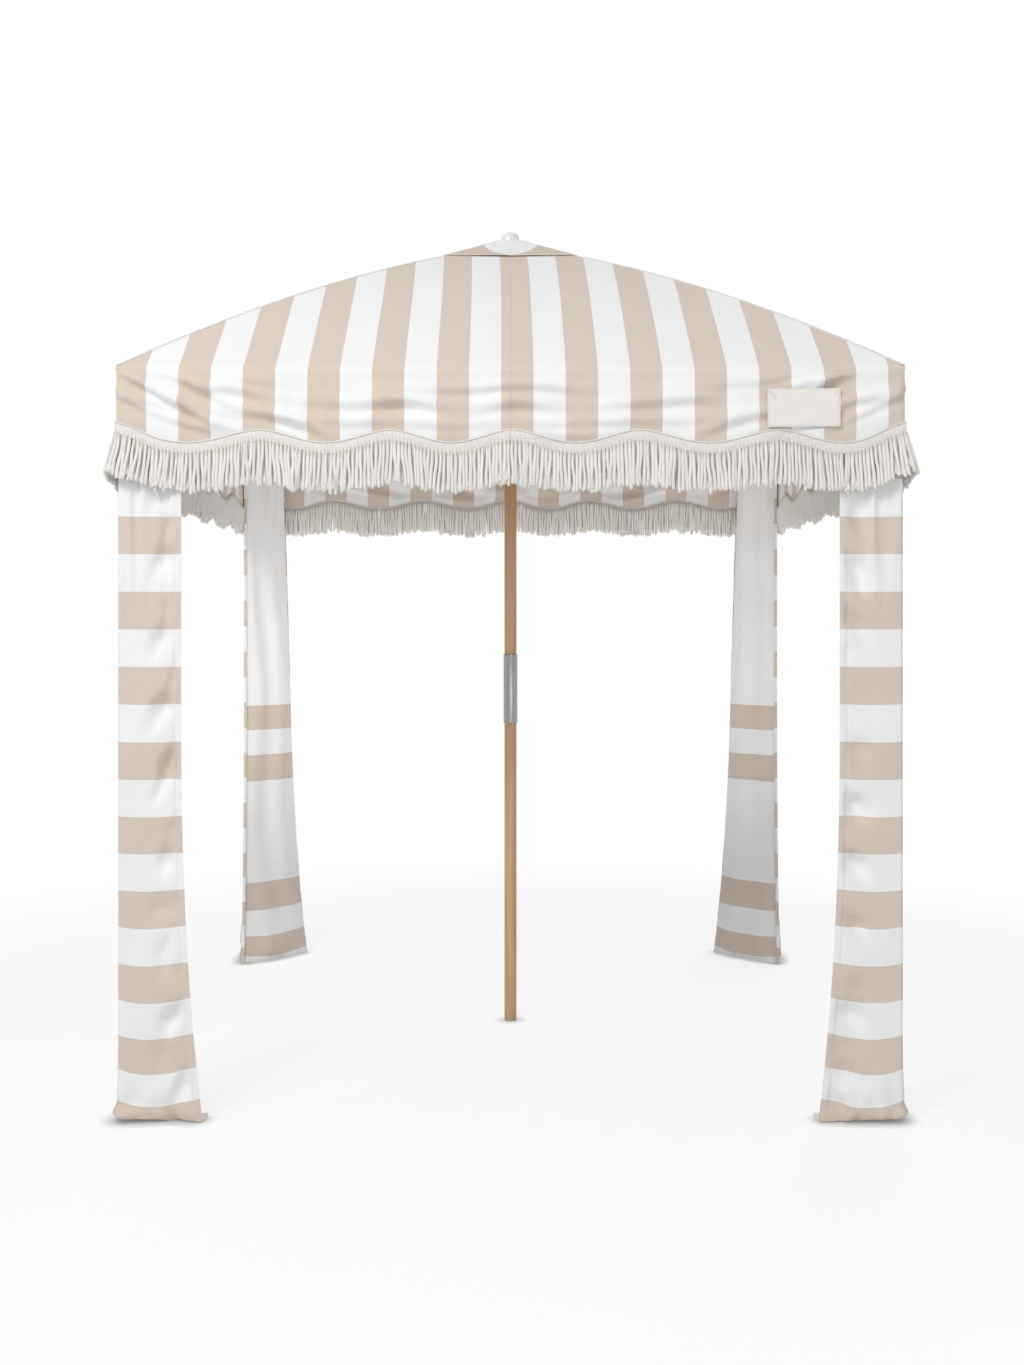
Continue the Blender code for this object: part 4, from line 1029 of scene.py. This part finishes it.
def strand_mesh(name, face, rows):
    """Tubes with round looped ends along the strands' centre lines."""
    vertices, quads, weave, seam = [], [], [], []
    ring = np.arange(STRAND_SIDES) * math.tau / STRAND_SIDES
    out, right = face_frame(face)
    circle = np.cos(ring)[None, :, None] * right + np.sin(ring)[None, :, None] * out
    start = 0
    for sideways, reach, height, thick, own in rows:
        for strand in range(len(thick)):
            centre = in_face(face, sideways[strand], reach[strand], height[strand])
            size = (thick[strand] * STRAND_SWELL)[:, None, None]
            points = centre[:, None, :] + circle * size
            cap = centre[-1] - np.array((0, 0, thick[strand] * 0.40))
            vertices.append(np.concatenate((points.reshape(-1, 3), cap[None, :])))
            index = start + np.arange(RINGS * STRAND_SIDES).reshape(RINGS, STRAND_SIDES)
            after = np.roll(index, -1, axis=1)
            body = np.stack((index[:-1], index[1:], after[1:], after[:-1]), -1).reshape(-1, 4)
            tip = start + RINGS * STRAND_SIDES
            quads += body.tolist()
            quads += [(int(index[-1, k]), tip, int(after[-1, k])) for k in range(STRAND_SIDES)]
            quads.append([int(value) for value in index[0]])
            drop = height[strand][0] - np.append(np.repeat(height[strand], STRAND_SIDES), cap[2])
            turn = np.append(np.tile(np.arange(STRAND_SIDES) / STRAND_SIDES, RINGS), 0)
            weave.append(np.stack((turn + 7 * own[strand], drop), 1))
            seam.append(np.stack((drop, drop * 0 + own[strand]), 1))
            start = tip + 1
    mesh = bpy.data.meshes.new(name)
    mesh.from_pydata(np.concatenate(vertices), [], quads)
    lay_uvs(mesh, weave=np.concatenate(weave), seam=np.concatenate(seam))
    shape = bmesh.new()
    shape.from_mesh(mesh)
    bmesh.ops.recalc_face_normals(shape, faces=shape.faces[:])
    shape.to_mesh(mesh)
    shape.free()
    return piece_from(mesh, name, strand_cotton)


strand_cotton = twisted_cotton()
for order, (number, face, side, corner) in enumerate(HALF_FACES):
    chance = np.random.RandomState(500 + order)
    rows = [fringe_row(chance, number, side, layer) for layer in (0, 1)]
    fringe = strand_mesh(f"fringe_{face}_{corner}", face, rows)
    hang_on(fringe, f"corner_{corner}", [f"fringe_{corner}"])
    side_gather(fringe)
    trim_pieces[face, corner].append(fringe)

# Label patch: a bare woven patch with a turned edge, sewn on the front valance near
# its right corner.

LABEL_LEFT = 0.584
LABEL_WIDTH = 0.166
LABEL_BOTTOM = 1.5855
LABEL_HEIGHT = 0.087
LABEL_FOLLOWS = 0.2
LABEL_THICK = 0.0010
LABEL_CLOTH = (0.885, 0.858, 0.812)
LABEL_FLECK = (0.78, 0.75, 0.70)
LABEL_THREAD = (0.70, 0.65, 0.58)


def label_paint(tree, across, along):
    fine = speckle(tree, uv_place(tree, "weave")[0], 500, (1, 0.1, 1), 2)
    return tint(tree, LABEL_CLOTH, LABEL_FLECK, fine, 0.25)


label_canvas = sewn_canvas("label_patch_cloth", label_paint, (0.0030,), 0.3, LABEL_THREAD)
right_share = np.linspace(0, 1, 44)[None, :]
up_share = np.linspace(0, 1, 24)[:, None]
across = LABEL_LEFT + LABEL_WIDTH * right_share + 0 * up_share
height = LABEL_BOTTOM + LABEL_HEIGHT * up_share + 0.0010 * (right_share - 0.5)
side_edge = np.minimum(right_share, 1 - right_share) * LABEL_WIDTH
edge = np.minimum(side_edge, np.minimum(up_share, 1 - up_share) * LABEL_HEIGHT)
smooth_out = np.maximum(valance_out(LABEL_FACE, across, height), 0)
for _ in range(3):
    smooth_out[1:-1] = (smooth_out[:-2] + smooth_out[2:] + 2 * smooth_out[1:-1]) / 4
smooth_out = LABEL_FOLLOWS * smooth_out + (1 - LABEL_FOLLOWS) * smooth_out.max()
stand = 0.0021 + 0.0004 * np.clip(edge / 0.002, 0, 1) - 0.0003 * bell(edge, 0.003, 0.0008)
reach = HALF_SIDE + smooth_out + stand
run = np.where(up_share * LABEL_HEIGHT <= edge + 1e-9, across, height)
run = np.where((1 - up_share) * LABEL_HEIGHT <= edge + 1e-9, across, run)
label = cloth_panel(
    "label_patch",
    in_face("front", across, reach, height),
    (across, height),
    (edge, run),
    LABEL_THICK,
    (0, -1, 0),
    label_canvas,
)
hang_on(label, "corner_front_right", ["label"])
side_gather(label)
trim_pieces["front", "front_right"].append(label)

for number, face, side, corner in HALF_FACES:
    cloth = valance_pieces[face, corner]
    side_gather(cloth)

# Legs, outer panels: one piece of canvas with level stripes goes round the outer
# corner of each leg and under its foot. The foot is slack, rounded and creased.

LEG_OUTSIDE = 0.8962
LEG_TOP = 1.700
LEG_COVERED = 1.50
LEG_WIDTH = 0.145
LEG_FLARE = 0.049
FLARE_HEIGHT = 0.950
FLARE_POWER = 2.4
LEG_PERIOD = 0.1714
LEG_FIRST_BAND = 1.3392
HEM_WRAP = 0.007
FOOT_HEM = 0.004
FOOT_SPREAD = 0.006
FOOT_ROLL = 0.007
BACK_DRAWN = 0.030
BOTTOM_SHARES = (0.08, 0.4, 0.75, 0.97)
BOTTOM_RUN = np.array([0.10, 0.06, 0.03, 0.004])[:, None]


def leg_width(height):
    return LEG_WIDTH + LEG_FLARE * np.clip(1 - height / FLARE_HEIGHT, 0, 1) ** FLARE_POWER


def back_drawn(height, sign_y):
    """How much narrower a back leg's rear panel is gathered, towards its top."""
    return BACK_DRAWN * np.clip((height - 0.25) / 1.35, 0, 1) ** 1.5 * (sign_y > 0)


def leg_paint(tree, across, along):
    return striped(tree, along, BEIGE, WHITE, LEG_PERIOD, LEG_FIRST_BAND)


def sagged(height, share):
    """Height on the cloth that lies at a height of the leg, which creeps down at the foot."""
    creep = 0.037 * np.exp(-height / 0.11) + 0.012 * np.clip(1 - height / 0.8, 0, 1)
    bow = 0.026 * np.exp(-height / 0.33) * (np.sin(math.pi * np.clip(share, 0, 1) ** 0.85) - 0.35)
    lean = 0.004 * (share - 0.5) * np.clip(1 - height, 0, 1)
    return height - creep + bow - lean


def leg_bulge(corner_number, face_number, share, height):
    """How far a leg's outer face stands out: full at the foot, with soft folds above."""
    seed = 600 + 20 * corner_number + 7 * face_number
    middle = np.sin(math.pi * share) ** 0.8
    back_side_panel = corner_number in (1, 2) and face_number == 1
    spread, spread_reach = (0.016, 0.150) if back_side_panel else (0.007, 0.060)
    foot = spread * bell(height, 0.065, spread_reach) * middle - 0.003 * bell(height, 0.0, 0.012)
    body = middle * 0.0036 * soft_noise(seed, 0.34)(share * 0.10, height)
    gathers = np.sin(math.tau * (share * 2.6 + 0.25 * soft_noise(seed + 1, 0.5, 5)(share, height)))
    top = -0.0130 * middle * (0.5 - 0.5 * gathers) * np.clip((height - 1.12) / 0.34, 0, 1) ** 1.3
    inner = bell(share, 0.72, 0.19) * np.clip((1 - share) / 0.12, 0, 1)
    along_crease = 0.64 * share * LEG_WIDTH + 0.77 * height
    over_crease = 0.64 * height - 0.77 * share * LEG_WIDTH
    slant = soft_noise(seed + 2, 0.075, 8)(along_crease * 0.42, over_crease)
    drags = -0.0180 * inner * np.clip(slant + 0.12, 0, 1.3)
    crush = soft_noise(seed + 3, 0.050, 8)(share * 0.16, height * 0.8)
    floor = 0.0065 * crush * np.exp(-height / 0.07) * (0.35 + 0.65 * middle)
    pucker = -0.0016 * bell(share, 0.89, 0.020)
    ruck = 0.0010 * bell(share, 0.90, 0.06) * soft_noise(seed + 4, 0.026, 7)(share * 0.05, height)
    total = foot + body + top + drags + floor + pucker + ruck
    total = total * np.clip((1 - share) / 0.10, 0, 1)
    held = np.clip((LEG_TOP - height) / 0.10, 0, 1) * 0.8 + 0.2
    # Behind the valance the cloth only folds inwards
    return np.where(height > LEG_COVERED, np.minimum(total, 0.0), total) * held


def leg_gather(piece):
    """Give a leg's cloth its own copy of its mesh."""
    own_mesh(piece)


canvas_leg = sewn_canvas("leg_canvas", leg_paint, (0.016,))
foot_heights = [0.0012, 0.004, 0.009, 0.015, 0.022, 0.030]
height = np.append(foot_heights, np.linspace(0.040, LEG_TOP, 118))[:, None]
width = leg_width(height)
rounding = 0.008 + 0.017 * np.exp(-height / 0.05)
to_corner = np.append(np.linspace(1, 0.1, 34), np.linspace(0.09, 0.0, 8))
from_corner = to_corner[::-1][1:]
signed = np.concatenate((-to_corner, from_corner, [1.03, 1.09]))
folded = np.abs(signed)[None, :]
for corner_number, (corner, (sign_x, sign_y)) in enumerate(CORNERS.items()):
    panels = []
    for face_number, shares in enumerate((to_corner, from_corner)):
        share = shares[None, :]
        along = share * (width - back_drawn(height, sign_y) * (face_number == 0))
        swell = leg_bulge(corner_number, face_number, share, height)
        # The rounded corner draws both coordinates in
        pull = 0.29 * rounding * np.clip(1 - along / rounding, 0, 1) ** 2
        outside = LEG_OUTSIDE + FOOT_SPREAD * np.exp(-((height / 0.085) ** 2)) * (1 - share)
        roll = bell(height, 0.015, 0.014) - 0.3 * bell(height, 0.042, 0.012)
        outside = outside + FOOT_ROLL * roll * (1 - share) ** 2
        beside = outside - along - pull
        out = outside + swell * np.clip(along / 0.02, 0, 1) - pull
        # The foot's outline rises a little at its outer corner
        wave = 1 + np.sin(5.1 * share + 2 * corner_number + face_number)
        lift = 0.008 * np.exp(-along / 0.020) * np.exp(-height / 0.014)
        lift = lift + 0.006 * (1 - share) * np.exp(-height / 0.030)
        lift = lift + 0.0016 * wave * np.exp(-height / 0.012)
        pair = (out, beside) if face_number else (beside, out)
        panels.append(np.stack((*pair, height + lift), -1))
    # The side panel's edge is turned round the lining as a hem
    end = panels[1][:, -1:]
    inward = 0.0045 + 0.0007 * np.sin(height * 90 + corner_number)
    for step in (0.35, 1.0):
        shift = (HEM_WRAP + FOOT_HEM * np.exp(-((height / 0.022) ** 2))) * step
        hem = (-shift * 0.72 - inward, shift * 0.55 - inward * 0.6, 0 * inward)
        panels.append(end + np.stack(hem, -1))
    local = np.concatenate(panels, axis=1)
    across = signed[None, :] * width
    cloth_level = sagged(height, folded) + 0 * across
    beside = np.abs((1 - folded) * width)
    run = height + 0 * across
    # The bottom panel closes the foot, on the ground
    edge_row = local[0]
    foot_ends = edge_row[0], edge_row[-3]
    far_row = foot_ends[0] + (foot_ends[1] - foot_ends[0]) * np.clip((signed + 1) / 2, 0, 1)[:, None]
    under = []
    for share in BOTTOM_SHARES:
        row = far_row + (edge_row - far_row) * share
        raised = (edge_row[:, 2] - edge_row[:, 2].min()) * share**6
        row[:, 2] = 0.0002 + 0.0010 * (share > 0.9) + raised
        under.append(row)
    local = np.concatenate((np.array(under), local))
    across, beside, run = [with_first_rows(part, len(under)) for part in (across, beside, run)]
    cloth_level = np.concatenate((cloth_level[:1] - BOTTOM_RUN, cloth_level))
    leg = cloth_panel(
        f"leg_cloth_{corner}",
        local * np.array((sign_x, sign_y, 1)),
        (across, cloth_level),
        (beside, run),
        CANVAS,
        (sign_x, sign_y, 0),
        canvas_leg,
    )
    hang_on(leg, f"corner_{corner}", [f"leg_outer_{corner}"])
    leg_gather(leg)

# Legs, inner panels: white canvas with two pairs of woven bands low down and a white
# hem. It closes the leg towards the middle of the tent and hangs in long soft folds.

LINING_BANDS = ((0.017, 0.085), (0.170, 0.262), (0.602, 0.690), (0.775, 0.857))
LINING_SHADE = (0.680, 0.578, 0.500)
LINING_INSET = 0.0018
TAB_INWARD = 0.006
TAB_BACK = 0.040
TAB_HEIGHT = 0.018
TAB_THICK = 0.0012


def lining_paint(tree, across, along):
    colour = WHITE
    for low, high in LINING_BANDS:
        above = ramp_between(tree, along, low - YARN_EDGE, low + YARN_EDGE)
        below = ramp_between(tree, along, high + YARN_EDGE, high - YARN_EDGE)
        colour = tint(tree, colour, LINING_SHADE, above, below)
    return colour


canvas_lining = sewn_canvas("leg_lining_canvas", lining_paint, (0.010,), 0.8)
width = leg_width(height) - 0.0035
shares = np.linspace(0, 1, 44)[None, :]
middle = np.sin(math.pi * shares)
run = math.sqrt(2) * width * (shares - 0.5)
level = height - 0.014 * np.exp(-height / 0.10) * (1 - 1.4 * middle) * 0.6
edge = np.minimum(shares, 1 - shares) * width * math.sqrt(2)
for corner_number, (corner, (sign_x, sign_y)) in enumerate(CORNERS.items()):
    seed = 800 + 20 * corner_number
    folds = np.sin(math.tau * (1.7 * shares + 0.22 * soft_noise(seed, 0.9, 5)(shares * 0.2, height)))
    bulge = 0.010 + 0.0080 * folds * (0.4 + 0.6 * height / LEG_TOP)
    bulge += 0.0022 * soft_noise(seed + 1, 0.22)(shares * 0.2, height)
    bulge += 0.009 * bell(height, 0.06, 0.06) - 0.004 * bell(height, 0, 0.010)
    bulge += 0.0024 * np.exp(-height / 0.08) * soft_noise(seed + 2, 0.05)(shares * 0.2, height)
    bulge *= middle
    drawn = width + 0.0030 * (sign_y > 0) - back_drawn(height, sign_y) - LINING_INSET
    along = LINING_INSET + drawn * shares
    beside = width + LINING_INSET - along
    local = (LEG_OUTSIDE - along - bulge, LEG_OUTSIDE - beside - bulge, height + 0 * along)
    lining = cloth_panel(
        f"leg_lining_cloth_{corner}",
        np.stack(local, -1) * np.array((sign_x, sign_y, 1)),
        (run, level),
        (edge, height),
        CANVAS,
        (-sign_x, -sign_y, 0),
        canvas_lining,
    )
    hang_on(lining, f"corner_{corner}", [f"leg_lining_{corner}"])
    leg_gather(lining)
    # A front leg's lining ends in a short tab at the foot's inner corner
    if sign_y > 0:
        continue
    tab_along = np.linspace(0, 1, 8)[None, :]
    tab_up = np.linspace(0, 1, 5)[:, None]
    tab_wave = 0.0016 * np.sin(math.pi * tab_along + corner_number)
    tab_points = (
        LEG_OUTSIDE - leg_width(0) + 0.003 - TAB_INWARD * tab_along + tab_wave * tab_up,
        LEG_OUTSIDE - 0.003 - TAB_BACK * tab_along - 0.002 * tab_up,
        0.0006 + TAB_HEIGHT * tab_up * (1 - 0.60 * tab_along),
    )
    tab_run = np.hypot(TAB_INWARD, TAB_BACK) * tab_along
    tab_level = TAB_HEIGHT * tab_up
    tab = cloth_panel(
        f"foot_tab_{corner}",
        np.stack(tab_points, -1) * np.array((sign_x, sign_y, 1)),
        (tab_run, tab_level),
        (tab_level, tab_run),
        TAB_THICK,
        (-sign_x, sign_y, 0),
        canvas_lining,
    )
    hang_on(tab, f"corner_{corner}", ())
    leg_gather(tab)

# Floor, lamps and camera: a plain white studio floor under soft light from the front
# and above, with the camera level and straight in front of the tent.

FLOOR_HALF = 9.0
FLOOR_FADE = (1.5, 3.2)
# Reach and strength of the contact shadow painted into the floor's glow
CONTACT_SHADOW_REACH = 0.040
CONTACT_SHADOW_DEPTH = 0.78
CAMERA_PLACE = (0.0, -4.374, 1.146)
SENSOR = 36
FOCAL_PIXELS = 1525
FRAME_WIDE = 1024
FRAME_LONG = 1365
HORIZON_ROW = 620
AXIS_COLUMN = 510.5
BARE_WHITE = (1, 1, 1, 1)
SKY_WHITE = (0.97, 0.985, 1, 1)
LAMPS = (
    # name, place, aim, size, power, spread in degrees, colour
    ("key_softbox", (-2.5, -4.4, 4.8), (0, 0, 1.3), 1.8, 141, 180, (1.0, 0.995, 0.985)),
    ("fill_softbox", (1.4, -6.4, 0.6), (0, 0, 0.7), 3.0, 54, 180, (0.99, 0.995, 1.0)),
    ("back_softbox", (2.6, 5.4, 3.0), (0, 0, 1.2), 3.2, 84, 180, (1.0, 1.0, 1.0)),
    ("under_softbox", (0, 0.45, 0.10), (0, 0.8, 1.6), 0.9, 3.1, 110, (1.0, 1.0, 1.0)),
    ("left_inside_softbox", (-0.35, -0.80, 0.30), (-0.85, 0.85, 1.1), 0.4, 0.40, 50, (1.0, 1.0, 1.0)),
    ("right_inside_softbox", (0.35, -0.80, 0.30), (0.85, 0.85, 1.1), 0.4, 0.40, 50, (1.0, 1.0, 1.0)),
)


def seen_or_lit(tree, lit, shown):
    """One shader for the light on the tent, another for what the camera sees."""
    path = add_node(tree, "ShaderNodeLightPath").outputs
    seen = maths(tree, "MAXIMUM", path["Is Camera Ray"], path["Is Glossy Ray"])
    seen = maths(tree, "MAXIMUM", seen, path["Is Transmission Ray"])
    return add_node(tree, "ShaderNodeMixShader", {0: seen, 1: lit, 2: shown}).outputs[0]


def studio_floor():
    material = bpy.data.materials.new("studio_floor")
    material.use_nodes = True
    tree = material.node_tree
    tree.nodes.clear()
    away = add_node(tree, "ShaderNodeVectorMath", {0: own_place(tree)}, operation="LENGTH")
    far = ramp_between(tree, away.outputs["Value"], *FLOOR_FADE)
    matt = add_node(tree, "ShaderNodeBsdfDiffuse", {"Color": (0.75, 0.75, 0.75, 1)}).outputs[0]
    shown = add_node(tree, "ShaderNodeBsdfDiffuse", {"Color": BARE_WHITE}).outputs[0]
    # Painted contact shadow: the floor's glow is dimmed by ambient occlusion near things standing on
    # it
    contact = add_node(tree, "ShaderNodeAmbientOcclusion", {"Distance": CONTACT_SHADOW_REACH}, samples=8)
    open_sky = maths(tree, "POWER", contact.outputs["AO"], 1.9)
    painted_shadow = scaled(tree, open_sky, CONTACT_SHADOW_DEPTH, 1 - CONTACT_SHADOW_DEPTH)
    glow = add_node(tree, "ShaderNodeEmission", {"Color": BARE_WHITE, "Strength": painted_shadow}).outputs[0]
    mixed = {0: scaled(tree, far, 0.26, 0.74), 1: shown, 2: glow}
    near = add_node(tree, "ShaderNodeMixShader", mixed).outputs[0]
    add_node(tree, "ShaderNodeOutputMaterial", {"Surface": seen_or_lit(tree, matt, near)})
    return material


shape = bmesh.new()
bmesh.ops.create_grid(shape, x_segments=2, y_segments=2, size=FLOOR_HALF)
floor = piece_from(mesh_from(shape, "studio_floor"), "studio_floor", studio_floor())
floor.location.z = -0.0005

world = bpy.data.worlds.new("studio")
bpy.context.scene.world = world
world.use_nodes = True
tree = world.node_tree
tree.nodes.clear()
soft = add_node(tree, "ShaderNodeBackground", {"Color": SKY_WHITE, "Strength": 0.54}).outputs[0]
white = add_node(tree, "ShaderNodeBackground", {"Color": BARE_WHITE, "Strength": 1.0}).outputs[0]
add_node(tree, "ShaderNodeOutputWorld", {"Surface": seen_or_lit(tree, soft, white)})

for name, place, aim, size, power, spread, colour in LAMPS:
    lamp = bpy.data.lights.new(name, "AREA")
    lamp.shape = "SQUARE"
    lamp.size = size
    lamp.energy = power
    lamp.spread = math.radians(spread)
    lamp.color = colour
    holder = bpy.data.objects.new(name, lamp)
    stage_collection.objects.link(holder)
    holder.visible_camera = False
    holder.location = place
    holder.rotation_euler = (Vector(aim) - Vector(place)).to_track_quat("-Z", "Y").to_euler()

camera_data = bpy.data.cameras.new("camera")
camera_data.sensor_width = SENSOR
camera_data.lens = SENSOR * FOCAL_PIXELS / FRAME_LONG
camera_data.shift_y = (HORIZON_ROW - FRAME_LONG / 2) / FRAME_LONG
camera_data.shift_x = (FRAME_WIDE / 2 - AXIS_COLUMN) / FRAME_LONG
camera_data.clip_start = 0.05
camera = bpy.data.objects.new("camera", camera_data)
stage_collection.objects.link(camera)
camera.location = CAMERA_PLACE
camera.rotation_euler = (math.radians(90), 0, 0)
bpy.context.scene.camera = camera
bpy.context.scene.view_settings.view_transform = "Standard"
